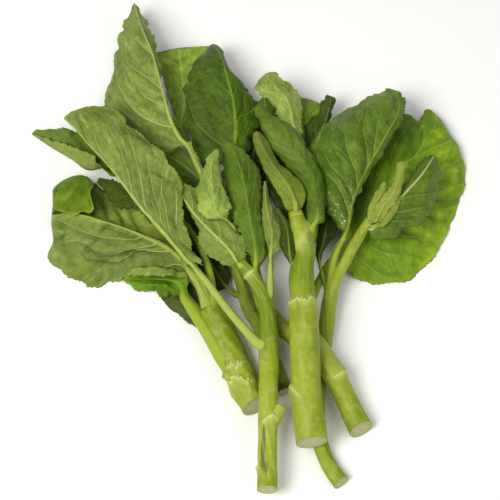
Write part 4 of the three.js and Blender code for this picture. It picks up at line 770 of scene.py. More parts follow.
def make_piece(name, points, faces, slots, materials, attributes):
    """One object from points in layout millimetres, with a material slot per face."""
    mesh = bpy.data.meshes.new(name)
    mesh.from_pydata(((points - ORIGIN) * MM).tolist(), [], faces)
    for material in materials:
        mesh.materials.append(material)
    mesh.polygons.foreach_set("material_index", np.asarray(slots, np.int32))
    mesh.polygons.foreach_set("use_smooth", np.ones(len(faces), bool))
    for attribute, values in attributes.items():
        layer = mesh.attributes.new(attribute, "FLOAT_VECTOR", "POINT")
        layer.data.foreach_set("vector", np.asarray(values, np.float32).ravel())
    mesh.update()
    piece = bpy.data.objects.new(name, mesh)
    bpy.context.scene.collection.objects.link(piece)
    return piece


def ring_faces(rings, sides):
    """Quads of a tube of rings (each with the same number of points), outside out."""
    a = (np.arange(rings - 1)[:, None] * sides + np.arange(sides)[None, :]).ravel()
    b = (np.arange(rings - 1)[:, None] * sides + (np.arange(sides)[None, :] + 1) % sides).ravel()
    return np.stack([a, b, b + sides, a + sides], axis=1).tolist()


def fan(ring, centre, outwards):
    """Triangles from a ring of point numbers to one centre point."""
    pairs = list(zip(ring, ring[1:] + ring[:1]))
    return [[a, b, centre] if outwards else [b, a, centre] for a, b in pairs]


def closed_tube(rings, tip, foot):
    """Points and faces of a tube with a fan over its last ring, to the tip, and over its first one."""
    count, sides = rings.shape[:2]
    numbers = list(range(count * sides))
    faces = ring_faces(count, sides)
    faces += fan(numbers[-sides:], len(numbers), True)
    faces += fan(numbers[:sides], len(numbers) + 1, False)
    return np.concatenate([rings.reshape(-1, 3), [tip, foot]]), faces


def with_ends(values):
    """Values of the rings of a closed tube, and for its tip and foot those of the nearest ring."""
    values = values.ravel()
    return np.concatenate([values, [values[-1], values[0]]])


# ---- materials ----


def srgb(red, green, blue):
    """Linear colour of an 8-bit screen colour."""
    def linear(value):
        value = value / 255
        return value / 12.92 if value <= 0.04045 else ((value + 0.055) / 1.055) ** 2.4
    return (linear(red), linear(green), linear(blue), 1.0)


class Value:
    """The output of a node, to be reckoned with like a number."""

    def __init__(self, nodes, socket):
        self.nodes, self.socket = nodes, socket

    def __add__(self, other):
        return self.nodes.math("ADD", self, other)

    def __sub__(self, other):
        return self.nodes.math("SUBTRACT", self, other)

    def __rsub__(self, other):
        return self.nodes.math("SUBTRACT", other, self)

    def __mul__(self, other):
        return self.nodes.math("MULTIPLY", self, other)

    def __abs__(self):
        return self.nodes.math("ABSOLUTE", self)

    def step(self, low, high, start=0.0, end=1.0):
        """Start where the value is low and end where it is high, with a smooth passage between."""
        return self.nodes.add("MapRange", (self, low, high, start, end), interpolation_type="SMOOTHSTEP")


class Nodes:
    """The node tree of one material, with short ways to add the nodes used here."""

    def __init__(self, name, roughness, specular):
        self.material = bpy.data.materials.new(name)
        self.material.use_nodes = True
        self.tree = self.material.node_tree
        self.shader = self.tree.nodes["Principled BSDF"]
        self.put(roughness, self.shader.inputs["Roughness"])
        self.put(specular, self.shader.inputs["Specular IOR Level"])

    def put(self, value, socket):
        if isinstance(value, Value):
            self.tree.links.new(value.socket, socket)
        else:
            socket.default_value = value

    def add(self, kind, given=(), output=0, **settings):
        """One output of a new node, with values put in its inputs in order or, from a dict, by name."""
        node = self.tree.nodes.new("ShaderNode" + kind)
        for key, setting in settings.items():
            setattr(node, key, setting)
        for key, value in given.items() if isinstance(given, dict) else enumerate(given):
            self.put(value, node.inputs[key])
        return Value(self, node.outputs[output])

    def math(self, operation, *given):
        return self.add("Math", given, operation=operation)

    def mix(self, share, a, b, kind="MIX"):
        return self.add("Mix", {0: share, 6: a, 7: b}, 2, data_type="RGBA", blend_type=kind)

    def paint(self, colour, colours, layers):
        """Lays colours, given by name, over the first one, each with its share."""
        for share, name in layers:
            colour = self.mix(share, colour, colours[name])
        return colour

    def values(self, name):
        """The three numbers that the mesh carries under this name."""
        vector = self.add("Attribute", output="Vector", attribute_name=name)
        apart = self.add("SeparateXYZ", (vector,)).socket.node
        return [Value(self, socket) for socket in apart.outputs]

    def vector(self, x, y, z):
        return self.add("CombineXYZ", (x, y, z))

    def place(self):
        return self.add("TexCoord", output="Object")

    def noise(self, vector, scale, detail=3.0, rough=0.5, twist=0.0):
        return self.add("TexNoise", {
            "Vector": vector, "Scale": scale, "Detail": detail, "Roughness": rough, "Distortion": twist})

    def cells(self, vector, scale):
        """Distance from the borders of irregular cells."""
        given = {"Vector": vector, "Scale": scale}
        return self.add("TexVoronoi", given, "Distance", feature="DISTANCE_TO_EDGE")

    def finish(self, colour, height, strength, roughness=None):
        bump = self.add("Bump", {"Strength": strength, "Distance": BUMP_DISTANCE, "Height": height})
        self.put(colour, self.shader.inputs["Base Color"])
        self.put(bump, self.shader.inputs["Normal"])
        if roughness is not None:
            self.put(roughness, self.shader.inputs["Roughness"])
        return self.material


BUMP_DISTANCE = 0.0006
# pale colour painted on water drops as their highlight
WATER_GLINT = srgb(206, 214, 186)


def leaf_material(name, look):
    """Leaf skin: mottled green, evenly spaced veins, drawn veins, fine net, midrib, tint (partly painted
    light and shade) and water, whose drops are painted pale as highlight specks.

    look is one of the tables below. Distances carried by the mesh are in millimetres.
    """
    n = Nodes(name, look["roughness"], look["specular"])
    number, gap, share = n.values("vein")
    rib_share, along, auto_show = n.values("leaf")
    signed, line_apart, strength = n.values("line")
    rib_show, vein_show, water_and_glint = n.values("show")
    place = n.place()
    broad = n.noise(place, 28.0, rough=0.55)
    patches = n.noise(place, 95.0, detail=4.0, rough=0.6, twist=0.6)
    small = n.noise(place, 330.0, detail=4.0, rough=0.65)
    strips = n.noise(n.vector(number * 2.2, share * 3.0, broad), 1.6, detail=4.0, rough=0.6)
    grain = n.noise(place, 1100.0, rough=0.6)
    roomy = gap.step(3.0, 12.0, 0.25, 0.85)
    colour = n.paint(look["dark"], look, [
        (broad.step(0.38, 0.62), "light"),
        (patches.step(0.4, 0.66, 0.0, 0.6), "light"),
        (strips.step(0.5, 0.7) * roomy, "bright"),
        (strips.step(0.48, 0.3) * roomy, "deep"),
        (small.step(0.44, 0.68, 0.0, 0.55), "dark"),
        (grain.step(0.5, 0.72, 0.0, 0.35), "light"),
        (n.noise(place, 42.0, detail=2.0).step(0.55, 0.78, 0.0, look["yellowing"]), "yellow"),
        (share.step(0.93, 1.0, 0.0, 0.45), "yellow"),
    ])

    # Evenly spaced side veins lie at whole vein numbers, a little out of line.
    turned = number + (n.noise(place, 70.0, detail=2.0) - 0.5) * 0.16
    apart = abs(n.math("FRACT", turned + 0.5) - 0.5) * gap
    half = n.math("MULTIPLY_ADD", 1.0 - share, 0.34, 0.14)
    vein = apart.step(half * 0.35, half * 1.5, 1.0, 0.0)
    vein = vein * share.step(1.0, 0.6, 0.15, 1.0) * gap.step(2.0, 7.0)
    vein = vein * n.noise(place, 60.0, detail=2.0).step(0.35, 0.6, 0.35, 1.0) * auto_show

    # Drawn veins, with a paler band on both sides of every vein and painted shade in a band on one side of
    # each drawn vein.
    half = n.math("MULTIPLY_ADD", strength, look["line_half"], 0.1)
    line = abs(signed).step(half * 0.4, half * 1.4, 1.0, 0.0)
    line = line * line_apart.step(1.5, 1.0) * strength.step(0.15, 0.6, 0.4, 1.0)
    halo = apart.step(0.3, 3.2, 1.0, 0.0) * auto_show
    halo = n.math("MAXIMUM", halo, line_apart.step(0.4, 3.6, 1.0, 0.0))
    # painted shade: a darker band on one side of each drawn vein, in place of the shadow of its ridge
    painted_line_shade = signed.step(0.2, 0.9) * line_apart.step(4.5, 1.0)

    # The fine net between them.
    shift = (n.noise(place, 160.0, detail=2.0) - 0.5) * 0.006
    bent = n.add("VectorMath", (place, n.vector(shift, shift, shift)), operation="ADD")
    coarse = n.cells(bent, 165.0).step(0.0, 0.08, 1.0, 0.0)
    fine = n.cells(bent, 430.0).step(0.0, 0.13, 1.0, 0.0)
    colour = n.paint(colour, look, [
        (halo * look["halo"], "light"),
        # the painted shade beside the drawn veins
        (painted_line_shade * 0.4, "deep"),
        (coarse * look["net"] + fine * (look["net"] * 0.4), "vein"),
        (vein * vein_show * look["vein_strength"], "vein"),
        (line * vein_show * look["line_strength"], "line"),
    ])

    rib = n.paint(look["stem"], look, [
        (along.step(0.0, 0.55), "rib"),
        (grain.step(0.4, 0.7, 0.0, 0.25), "light"),
    ])
    on_rib = rib_share.step(0.65, 1.05, 1.0, 0.0) * along.step(0.0, 0.15, 1.0, rib_show)
    colour = n.mix(on_rib, colour, rib)
    # tone carries the leaf's own tint together with painted light and shade
    tone = n.add("Attribute", output="Color", attribute_name="tone")
    colour = n.mix(1.0, colour, tone, "MULTIPLY")
    # water drops: raised and glossier, and painted pale as highlight specks
    drops_and_glints = n.noise(place, 340.0, rough=0.7).step(0.58, 0.62) * water_and_glint
    colour = n.mix(drops_and_glints * 0.8, colour, WATER_GLINT)

    height = n.math("MAXIMUM", vein, line) * look["relief"] + coarse * (look["relief"] * 0.15)
    height = height + grain * 0.5 + n.noise(place, 300.0, detail=2.0) * 0.5 + drops_and_glints * 1.6
    gloss = patches.step(0.3, 0.75, look["roughness"] - 0.07, look["roughness"] + 0.12) - drops_and_glints * 0.34
    return n.finish(colour, height, look["bump"], gloss)


def stalk_skin():
    """Outside of a stalk: streaks along it, waxy bloom, specks, pale scars and brown bruises."""
    n = Nodes("stalk_skin", 0.42, 0.25)
    x, y, length = n.values("stem")
    pale, bruise, _ = n.values("mark")
    green = n.values("tender")[0]
    stretched = n.vector(x, y, length * 0.1)
    streaks = n.noise(stretched, 0.35, rough=0.55)
    fine = n.noise(stretched, 2.2, rough=0.6)
    place = n.place()
    bloom = n.noise(place, 190.0, detail=4.0, rough=0.65)
    colour = n.paint(STALK_COLOURS["deep"], STALK_COLOURS, [
        (streaks.step(0.3, 0.7), "mid"),
        (n.noise(place, 26.0, rough=0.6).step(0.42, 0.64, 0.0, 0.65), "light"),
        (fine.step(0.45, 0.75, 0.0, 0.22), "light"),
        (n.noise(place, 75.0, rough=0.6).step(0.52, 0.74, 0.0, 0.45), "deep"),
        (bloom.step(0.48, 0.68, 0.0, 0.38), "bloom"),
    ])
    tender = n.paint(STALK_COLOURS["tender_deep"], STALK_COLOURS, [
        (streaks.step(0.3, 0.7), "tender"),
        (fine.step(0.45, 0.7, 0.0, 0.4), "mid"),
    ])
    blotch = bruise * n.noise(stretched, 1.3, detail=4.0, rough=0.7).step(0.35, 0.6, 0.3, 1.0)
    colour = n.paint(n.mix(green * 0.85, colour, tender), STALK_COLOURS, [
        (pale * 0.85, "pale"),
        (n.noise(place, 520.0, detail=1.0).step(0.23, 0.3, 1.0, 0.0) * 0.35, "bruise"),
        (blotch.step(0.1, 0.6, 0.0, 0.9), "bruise"),
    ])
    return n.finish(colour, fine * 0.8 + bloom * 0.5, 0.3, bloom.step(0.35, 0.7, 0.38, 0.52))


def stalk_flesh():
    """Cut end: a pale pith, a ring of fibres and a green rind."""
    n = Nodes("stalk_flesh", 0.62, 0.35)
    x, y, _ = n.values("stem")
    _, _, rim = n.values("mark")
    flat = n.vector(x, y, 0.0)
    fibres = n.noise(flat, 2.2, detail=4.0, rough=0.7)
    swirl = n.noise(flat, 0.7, rough=0.6, twist=1.5)
    colour = n.paint(STALK_COLOURS["pith"], STALK_COLOURS, [
        (swirl.step(0.35, 0.65), "pith_dark"),
        (fibres.step(0.5, 0.75, 0.0, 0.5), "pith_light"),
        (rim.step(0.62, 0.75) * rim.step(0.88, 0.8) * 0.55, "ring"),
        (rim.step(0.88, 0.99), "mid"),
    ])
    return n.finish(colour, fibres + swirl, 1.0)


UPPER = dict(
    deep=srgb(50, 76, 10), dark=srgb(66, 94, 18), light=srgb(100, 126, 40), bright=srgb(116, 142, 48),
    yellow=srgb(124, 148, 40), vein=srgb(138, 158, 64), line=srgb(160, 178, 88), rib=srgb(132, 154, 60),
    stem=srgb(150, 168, 50), roughness=0.42, specular=0.15, yellowing=0.3, net=0.14, halo=0.2,
    vein_strength=0.45, line_strength=0.55, line_half=0.26, relief=-1.0, bump=0.8,
)
UNDER = dict(
    deep=srgb(74, 98, 28), dark=srgb(92, 114, 38), light=srgb(132, 150, 70), bright=srgb(158, 172, 94),
    yellow=srgb(140, 158, 52), vein=srgb(176, 190, 108), line=srgb(184, 194, 112), rib=srgb(174, 184, 102),
    stem=srgb(164, 178, 82), roughness=0.6, specular=0.15, yellowing=0.3, net=0.12, halo=0.18,
    vein_strength=0.55, line_strength=0.7, line_half=0.42, relief=1.2, bump=0.75,
)
LEAF_SKINS = dict(
    upper=UPPER,
    upper_bright={**UPPER, **dict(
        deep=srgb(62, 94, 6), dark=srgb(86, 120, 12), light=srgb(122, 150, 36), bright=srgb(146, 170, 52),
        yellow=srgb(150, 172, 40), yellowing=0.45)},
    # upper_dark: a darker copy of the upper skin, partly a darker green and partly painted shade for leaves
    # lying in shadow, such as the shade leaves
    upper_dark={**UPPER, **dict(
        deep=srgb(34, 54, 8), dark=srgb(48, 70, 12), light=srgb(80, 104, 34), bright=srgb(90, 116, 40),
        yellowing=0.12, net=0.06, halo=0.08, specular=0.1, line_strength=0.4)},
    upper_ribbed={**UPPER, **dict(
        rib=srgb(188, 194, 122), stem=srgb(190, 196, 124), line=srgb(160, 176, 92))},
    under=UNDER,
    bud={**UNDER, **dict(
        deep=srgb(96, 120, 26), dark=srgb(120, 142, 40), light=srgb(160, 174, 70),
        bright=srgb(182, 190, 96))},
    under_green={**UNDER, **dict(
        deep=srgb(70, 92, 16), dark=srgb(86, 108, 24), light=srgb(118, 136, 46),
        bright=srgb(140, 156, 64))},
)
STALK_COLOURS = dict(
    deep=srgb(112, 132, 16), mid=srgb(135, 150, 24), light=srgb(160, 171, 48), bloom=srgb(176, 184, 104),
    pale=srgb(198, 204, 118), bruise=srgb(92, 82, 42), tender=srgb(128, 152, 38),
    tender_deep=srgb(92, 120, 16), pith=srgb(214, 211, 166), pith_dark=srgb(186, 186, 126),
    pith_light=srgb(238, 234, 206), ring=srgb(156, 164, 92),
)
LEAF_MATERIALS = {name: leaf_material("leaf_" + name, look) for name, look in LEAF_SKINS.items()}
STALK_MATERIALS = [stalk_skin(), stalk_flesh()]

# ---- leaves ----

LEAF_SEED = 100
LEAF_SAMPLES = 600  # points read along a midrib to measure it
SIDE_SAMPLES = 33  # points read across one side of the blade to measure it
FEWEST_ROWS = 24
STRIPS = (5, 46)  # fewest and most strips on each side of the midrib
BLADE_HALF = 0.3  # half the thickness of a leaf between its veins
LEAST_HALF = 0.05  # and at its thinnest
EDGE = 1.2  # distance from the edge in which the blade thins to nothing
FLARE_LENGTH = 4.0  # how far up the petiole its foot is felt to be wider
GROOVE = 0.35  # depth of the groove over the midrib, as a share of its radius
VEIN_SINK = 0.12  # how deep the upper side sinks over a vein
LINE_RIDGE, LINE_HALF = 1.3, 0.6  # a drawn vein stands out more than the others; its half width
LINE_STEPS = 24  # straight pieces of one drawn vein
FAR = 9.0  # drawn veins further away than this are not felt
WIDE_GAP = 12.0  # side veins this far apart have the full puckering between them
FLAT_RIB = 9.0  # distance from the midrib at which the puckering is full
ROLLING_LENGTHS = (70.0, 90.0)  # of the longest waves, along and across
CRINKLE_WAVES = (7.0, 9.0, 11.0, 13.0, 15.0, 18.0)
TOOTH_CHANGE = 31.0  # length over which the size of the teeth changes
LOBE_PERIOD = 42.0
FULL_WIDTH = 8.0  # a blade narrower than this has smaller teeth
MOTTLE = 0.12  # how uneven the brightness of a blade is
MOTTLE_LENGTHS = (24.0, 31.0, 19.0)
# painted shade: creases are painted darker the deeper they are, in place of the shadow that falls in them
CREASE_PAINTED_SHADE = 0.13  # how much darker a crease is for each millimetre of its depth


def leaf_stations(leaf):
    """Rows of points along the whole leaf: narrow ones on the petiole, then the blade, then the tip."""
    rows = np.array(leaf["rows"], float) + leaf["moved"]
    rib, count = leaf["rib"], rows.shape[1]
    petiole = np.array(leaf["petiole"], float)
    at = np.linspace(0, 1, len(petiole))
    along = unit(spline(petiole, at + 0.01) - spline(petiole, at - 0.01))
    across = rows[0, -1] - rows[0, 0]
    side = unit(across - along * (along @ across)[:, None])
    place = np.concatenate([np.linspace(-1, 0, rib + 1), np.linspace(0, 1, count - rib)[1:]])
    radius = read_along(leaf["radius"], at)
    narrow = petiole[:, None] + side[:, None] * (radius[:, None] * place)[..., None]
    tip = rows[-1, rib] + leaf["tip_reach"] * (rows[-1, rib] - rows[-2, rib])
    return np.concatenate([narrow, rows, np.tile(tip, (1, count, 1))])


def blunt(at, count, how_round):
    """Slows the narrowing after the last row, so that the leaf ends round instead of pointed."""
    last = (count - 2) / (count - 1)
    share = np.clip((at - last) / (1 - last), 0, 1)
    slowed = np.where(at < last, at, last + (1 - last) * (1 - np.sqrt(1 - share ** 2)))
    return at + (slowed - at) * how_round


def leaf_side(points, across_at):
    """Points of one side of the blade (rib first) at even shares of its width; and that width."""
    if len(points) == 2:
        width = np.linalg.norm(points[1] - points[0], axis=-1)
        return points[0] + (points[1] - points[0]) * across_at[..., None], width
    dense = spline(points, np.linspace(0, 1, SIDE_SAMPLES))
    run = run_length(dense)
    wanted = across_at * run[-1]
    out = np.empty(across_at.shape + (3,))
    for j in range(dense.shape[1]):
        for axis in range(3):
            out[:, j, axis] = np.interp(wanted[:, j], run[:, j], dense[:, j, axis])
    return out, run[-1]


def vein_course(along, share, leaf, rng):
    """Vein number (whole on a side vein) at each place of one side of the blade."""
    veins = leaf["veins"]
    source = along - leaf["lean"] * share ** leaf["bend"]
    spots = (np.arange(veins) + rng.uniform(0.25, 0.6)) / veins
    spots = spots ** 1.1 + rng.uniform(-0.22, 0.22, veins) / veins
    number = np.interp(source, spots, np.arange(veins))
    first, last = spots[1] - spots[0], spots[-1] - spots[-2]
    number = np.where(source < spots[0], (source - spots[0]) / first, number)
    return np.where(source > spots[-1], veins - 1 + (source - spots[-1]) / last, number)


def shape_edge(sign, side, grid, leaf, rng):
    """Teeth, shallow lobes and bites: moves the outer strips of one side of the blade in and out."""
    surface, width = side.surface, side.width
    outward = unit(surface[-1] - surface[-3])
    course = unit(np.gradient(surface[-1], axis=0))
    outward = unit(outward - course * np.sum(outward * course, axis=-1, keepdims=True))
    travelled = run_length(surface[-1])
    jitter = wander(travelled / (6 * leaf["tooth_period"]), rng) * 0.7
    teeth = saw(travelled / leaf["tooth_period"] + jitter) - 0.5
    size = leaf["tooth"] * (0.75 + 0.35 * wander(grid.length_at / TOOTH_CHANGE, rng, 2))
    lobes = leaf["lobe"] * wander(grid.length_at / LOBE_PERIOD, rng, 3)
    move = (teeth * size + lobes) * grid.bladed * smooth_step(0, 0.05, grid.along)
    move = move * (1 - 0.45 * grid.along ** 8) * np.clip(width / FULL_WIDTH, 0, 1)
    for bite_side, at, wide, deep in leaf["bites"]:
        if bite_side == sign:
            move = move - deep * np.exp(-((grid.length_at - at) / wide) ** 2)
    reach = np.minimum(leaf["reach"], 0.6 * np.maximum(width, 0.5))
    weight = np.clip(1 - (1 - side.share) * width / reach, 0, 1) ** 2
    surface += outward[None] * (move * weight)[..., None]


def lay_out(leaf, rng):
    """The blade's middle as a grid: axis 0 across it from left to right, axis 1 along it."""
    rib, first_row = leaf["rib"], len(leaf["petiole"])
    stations = leaf_stations(leaf)
    at, dense, run = even_steps(stations[:, rib], leaf["step"], FEWEST_ROWS, LEAF_SAMPLES)
    at = at[:-1]  # the tip is one point, added later
    station = at * (len(stations) - 1)
    blade_start = np.interp((first_row - 1) / (len(stations) - 1), dense, run)
    grid = SimpleNamespace(tip=stations[-1, rib], length_at=np.interp(at, dense, run))
    grid.along = np.clip((grid.length_at - blade_start) / (run[-1] - blade_start), 0, 1)
    grid.bladed = smooth_step(first_row - 1.0, first_row + 0.2, station)
    petiole_radius = read_along(leaf["radius"], np.clip(station / (first_row - 1), 0, 1))
    thin = leaf["radius"][-1] - leaf["rib_end"]
    thin = leaf["rib_end"] + thin * (1 - grid.along) ** leaf["thinning"]
    flare = 1 + leaf["flare"] * np.exp(-grid.length_at / FLARE_LENGTH)
    grid.rib_radius = np.where(grid.along > 0, thin, petiole_radius) * flare * leaf["stem"]

    slowed = blunt(at, len(stations), leaf["round_tip"])
    columns = np.stack([spline(stations[:, j], slowed) for j in range(stations.shape[1])])
    columns += (spline(stations[:, rib], at) - columns[rib])[None]
    sides = []
    for points in (columns[:rib + 1][::-1], columns[rib:]):
        widest = np.linalg.norm(np.diff(points, axis=0), axis=-1).sum(0).max()
        share = np.linspace(0, 1, int(np.clip(widest / leaf["step"], *STRIPS)) + 1)[:, None]
        round_share = np.sin(share * math.pi / 2)
        share = round_share + (share - round_share) * grid.bladed[None, :]
        surface, width = leaf_side(points, share)
        number = vein_course(grid.along[None, :], share, leaf, rng)
        sides.append(SimpleNamespace(surface=surface, share=share, width=width, number=number))
    for sign, side in zip((-1, 1), sides):
        shape_edge(sign, side, grid, leaf, rng)

    left, right = sides
    left.share = -left.share
    for side in sides:
        side.lateral = side.share * side.width
    for field in ("surface", "share", "lateral", "number"):
        setattr(grid, field, np.concatenate([getattr(left, field)[:0:-1], getattr(right, field)]))
    grid.middle = len(left.share) - 1
    grid.apart = np.abs(grid.lateral)
    grid.from_rib = np.abs(grid.share)
    grid.width = np.where(grid.share < 0, left.width, right.width)
    grid.length = np.broadcast_to(grid.length_at, grid.lateral.shape)
    forward = np.gradient(grid.surface, axis=1)
    sideways = np.gradient(grid.surface, axis=0)
    grid.normal = unit(np.cross(sideways, forward))
    slope_s = np.gradient(grid.number, axis=0) / np.maximum(np.linalg.norm(sideways, axis=-1), 0.05)
    slope_l = np.gradient(grid.number, axis=1) / np.maximum(np.linalg.norm(forward, axis=-1), 0.05)
    grid.gap = 1 / np.clip(np.hypot(slope_s, slope_l), 0.03, 2.0)
    return grid


def from_segment(grid, start, end):
    """Share of the way along a straight segment, distance from it and side of it, all over the blade."""
    x, y = grid.lateral - start[0], grid.length - start[1]
    way_x, way_y = end[0] - start[0], end[1] - start[1]
    share = np.clip((x * way_x + y * way_y) / (way_x ** 2 + way_y ** 2), 0, 1)
    return share, np.hypot(x - share * way_x, y - share * way_y), np.sign(way_x * y - way_y * x)


def line_places(lines, grid):
    """Signed and plain distance to the nearest drawn vein, and that vein's strength."""
    signed, apart = np.full((2,) + grid.lateral.shape, FAR)
    strength = np.zeros(grid.lateral.shape)
    for line in lines:
        course = spline(np.array(line, float), np.linspace(0, 1, LINE_STEPS + 1))
        for k in range(LINE_STEPS):
            share, distance, side = from_segment(grid, course[k], course[k + 1])
            nearer = distance < apart
            signed = np.where(nearer, side * distance, signed)
            strength = np.where(nearer, 1 - 0.6 * (k + share) / LINE_STEPS, strength)
            apart = np.where(nearer, distance, apart)
    return signed, apart, strength


def crease_depth(creases, grid):
    """How deep the blade is pressed in along straight creases."""
    depth = np.zeros(grid.lateral.shape)
    for x0, y0, x1, y1, wide, deep in creases:
        share, distance, _ = from_segment(grid, (x0, y0), (x1, y1))
        depth += deep * np.exp(-distance / wide) * (0.35 + 0.65 * np.sin(math.pi * share))
    return depth


def crinkle(grid, rng):
    """Small irregular waves in every direction, with heights of about -1..1."""
    total = np.zeros(grid.lateral.shape)
    for wave in CRINKLE_WAVES:
        way = rng.uniform(0, math.pi)
        bent = grid.lateral * math.sin(way) + grid.length_at * math.cos(way)
        bent = bent + 2.5 * np.sin(grid.length_at / wave + grid.lateral / 8)
        total += np.sin(2 * math.pi * (bent / wave + rng.uniform())) * wave / CRINKLE_WAVES[-1]
    return total / 2.5


def blade_height(leaf, grid, nearest, rng):
    """Height of the blade between its veins, positive towards the leaf's own upper side."""
    from_veins = (1 - np.exp(-(nearest / leaf["pillow"]) ** 1.4)) * np.clip(grid.gap / WIDE_GAP, 0.25, 1.2)
    from_lines = 1 - np.exp(-((grid.line_apart / leaf["pillow"]) ** 1.4))
    pillow = from_veins * leaf["auto"] + from_lines * (1 - leaf["auto"])
    inner = smooth_step(0.0, FLAT_RIB, grid.apart) * grid.bladed * (1 - 0.55 * grid.from_rib ** 4)
    phase = grid.length_at[None, :] / leaf["ruffle_period"]
    ruffle = np.where(grid.share < 0, wander(phase, rng), wander(phase, rng)) * grid.from_rib ** 2.6
    rolling = grid.length_at / ROLLING_LENGTHS[0] + grid.lateral / ROLLING_LENGTHS[1]
    rolling = wander(rolling, rng, 3) * smooth_step(0, 20, grid.apart)
    small = crinkle(grid, rng) * smooth_step(1.0, 6.0, grid.apart)
    waves = leaf["ruffle"] * ruffle + leaf["rolling"] * rolling + leaf["crinkle"] * small
    pressed = grid.dent if leaf["faces"] == "under" else -grid.dent  # from the side turned up
    return leaf["pucker"] * pillow * inner + waves * grid.bladed + pressed


def thickness(leaf, grid, nearest):
    """How far the skin lies above and below the blade's middle: blade, midrib and the ridges of veins."""
    vein_width = (0.55 + 0.45 * (1 - grid.from_rib)) * leaf["vein"]
    ridge = np.exp(-(nearest / vein_width) ** 2) * smooth_step(0.5, 3.0, grid.apart) * grid.bladed
    ridge *= (1 - grid.from_rib) ** 0.5 * smooth_step(2.0, 6.0, grid.gap) * leaf["auto"]
    drawn = np.exp(-((grid.line_apart / LINE_HALF) ** 2)) * grid.line_strength
    ridge += LINE_RIDGE * drawn * grid.bladed
    around = np.sqrt(np.clip(grid.rib_radius ** 2 - grid.apart ** 2, 0, None))
    edge = smooth_step(0.0, EDGE, (1 - grid.from_rib) * grid.width)
    sheet = BLADE_HALF * edge * grid.bladed
    groove = np.exp(-(grid.apart / np.maximum(grid.rib_radius, 0.3)) ** 2) * grid.bladed
    above = np.maximum(sheet, around * (1 - 0.75 * grid.bladed)) - VEIN_SINK * ridge
    above = np.maximum(above - GROOVE * grid.rib_radius * groove, LEAST_HALF * (edge > 0))
    below = np.maximum(sheet, around * (1 + 0.25 * grid.bladed)) + leaf["ridge"] * ridge
    above[[0, -1]] = 0
    below[[0, -1]] = 0
    return above, below


def on_skin(field):
    """Values of a grid for the points of its closed skin: the side turned up, then the other."""
    return with_ends(np.concatenate([field, field[-2:0:-1]]).T)


def leaf_tone(leaf, grid, rng):
    """Tint of every point of the skin, partly the leaf's own tone and partly painted light and shade; the
    petiole takes only a part of it.
    """
    long, cross, wide = MOTTLE_LENGTHS
    uneven = wander(grid.length / long + grid.lateral / cross, rng, 5) * wander(grid.lateral / wide, rng, 3)
    right = smooth_step(-0.15, 0.15, grid.share)[..., None]
    tone = np.array(leaf["left"]) * (1 - right) + np.array(leaf["right"]) * right
    tone = tone * (1 + (np.array(leaf["foot"]) - 1) * smooth_step(0.6, 0.3, grid.along)[:, None])
    # the crease term is painted shade; shade is partly painted light and shade, and the mottle is the
    # blade's own uneven tone
    brightness = leaf["shade"] * (1 + MOTTLE * uneven) * (1 - CREASE_PAINTED_SHADE * np.clip(grid.dent, 0, 3))
    tone = tone * brightness[..., None]
    tone = np.stack([on_skin(tone[..., k]) for k in range(3)], axis=1)
    rows, columns = len(grid.share), len(grid.length_at)
    hidden = np.concatenate([np.tile(np.arange(2 * rows - 2) >= rows, columns), [False, False]])
    tone[hidden] = np.array(leaf["back"]) * leaf["shade"]
    blade = on_skin(np.broadcast_to(smooth_step(0, 0.12, grid.along), grid.share.shape))[:, None]
    return 1 + (tone - 1) * (0.25 + 0.75 * blade)


def build_leaf(leaf, number):
    leaf = {**LEAF_LOOK, **leaf}
    rng = np.random.default_rng(number + LEAF_SEED)
    grid = lay_out(leaf, rng)
    grid.line_signed, grid.line_apart, grid.line_strength = line_places(leaf["lines"], grid)
    grid.dent = crease_depth(leaf["creases"], grid) * grid.bladed
    nearest = np.abs(grid.number - np.round(grid.number)) * grid.gap
    height = blade_height(leaf, grid, nearest, rng)
    above, below = thickness(leaf, grid, nearest)
    if leaf["faces"] == "upper":
        over, under = height + above, height - below
    else:
        over, under = below - height, -height - above
    top = grid.surface + grid.normal * over[..., None]
    bottom = grid.surface + grid.normal * under[..., None]

    ring = np.concatenate([top, bottom[-2:0:-1]]).transpose(1, 0, 2)
    middle = grid.middle
    tip = grid.tip + (top[middle, -1] + bottom[middle, -1]) / 2 - grid.surface[middle, -1]
    points, faces = closed_tube(ring, tip, ring[0].mean(0))
    points[:, 2] = np.maximum(points[:, 2], LAYOUT_FLOOR)
    rings, around = ring.shape[:2]
    over_face = np.tile(np.arange(around) < len(top) - 1, rings)
    over_face = np.concatenate([over_face, np.zeros(around, bool)])  # the fan at the foot is underneath
    slots = np.where(over_face == (leaf["faces"] == "upper"), 0, 1)

    def triples(*fields):
        return np.stack([on_skin(np.broadcast_to(field, grid.share.shape)) for field in fields], axis=1)

    # water near the petiole and its painted highlight specks
    water_and_glint = leaf["water_and_glint"] * smooth_step(0.4, 0.1, grid.along) * (grid.along > 0)
    rib_share = grid.apart / np.maximum(grid.rib_radius, 0.25)
    attributes = {
        "vein": triples(grid.number, grid.gap, grid.from_rib),
        "leaf": triples(rib_share, grid.along, leaf["auto_show"]),
        "show": triples(leaf["rib_show"], leaf["vein_show"], water_and_glint),
        "line": triples(grid.line_signed, grid.line_apart, grid.line_strength),
        "tone": leaf_tone(leaf, grid, rng),
    }
    materials = [LEAF_MATERIALS[leaf["upper"]], LEAF_MATERIALS[leaf["under"]]]
    return make_piece(leaf["name"] + "_looks", points, faces, slots, materials, attributes)


# ---- stalks ----

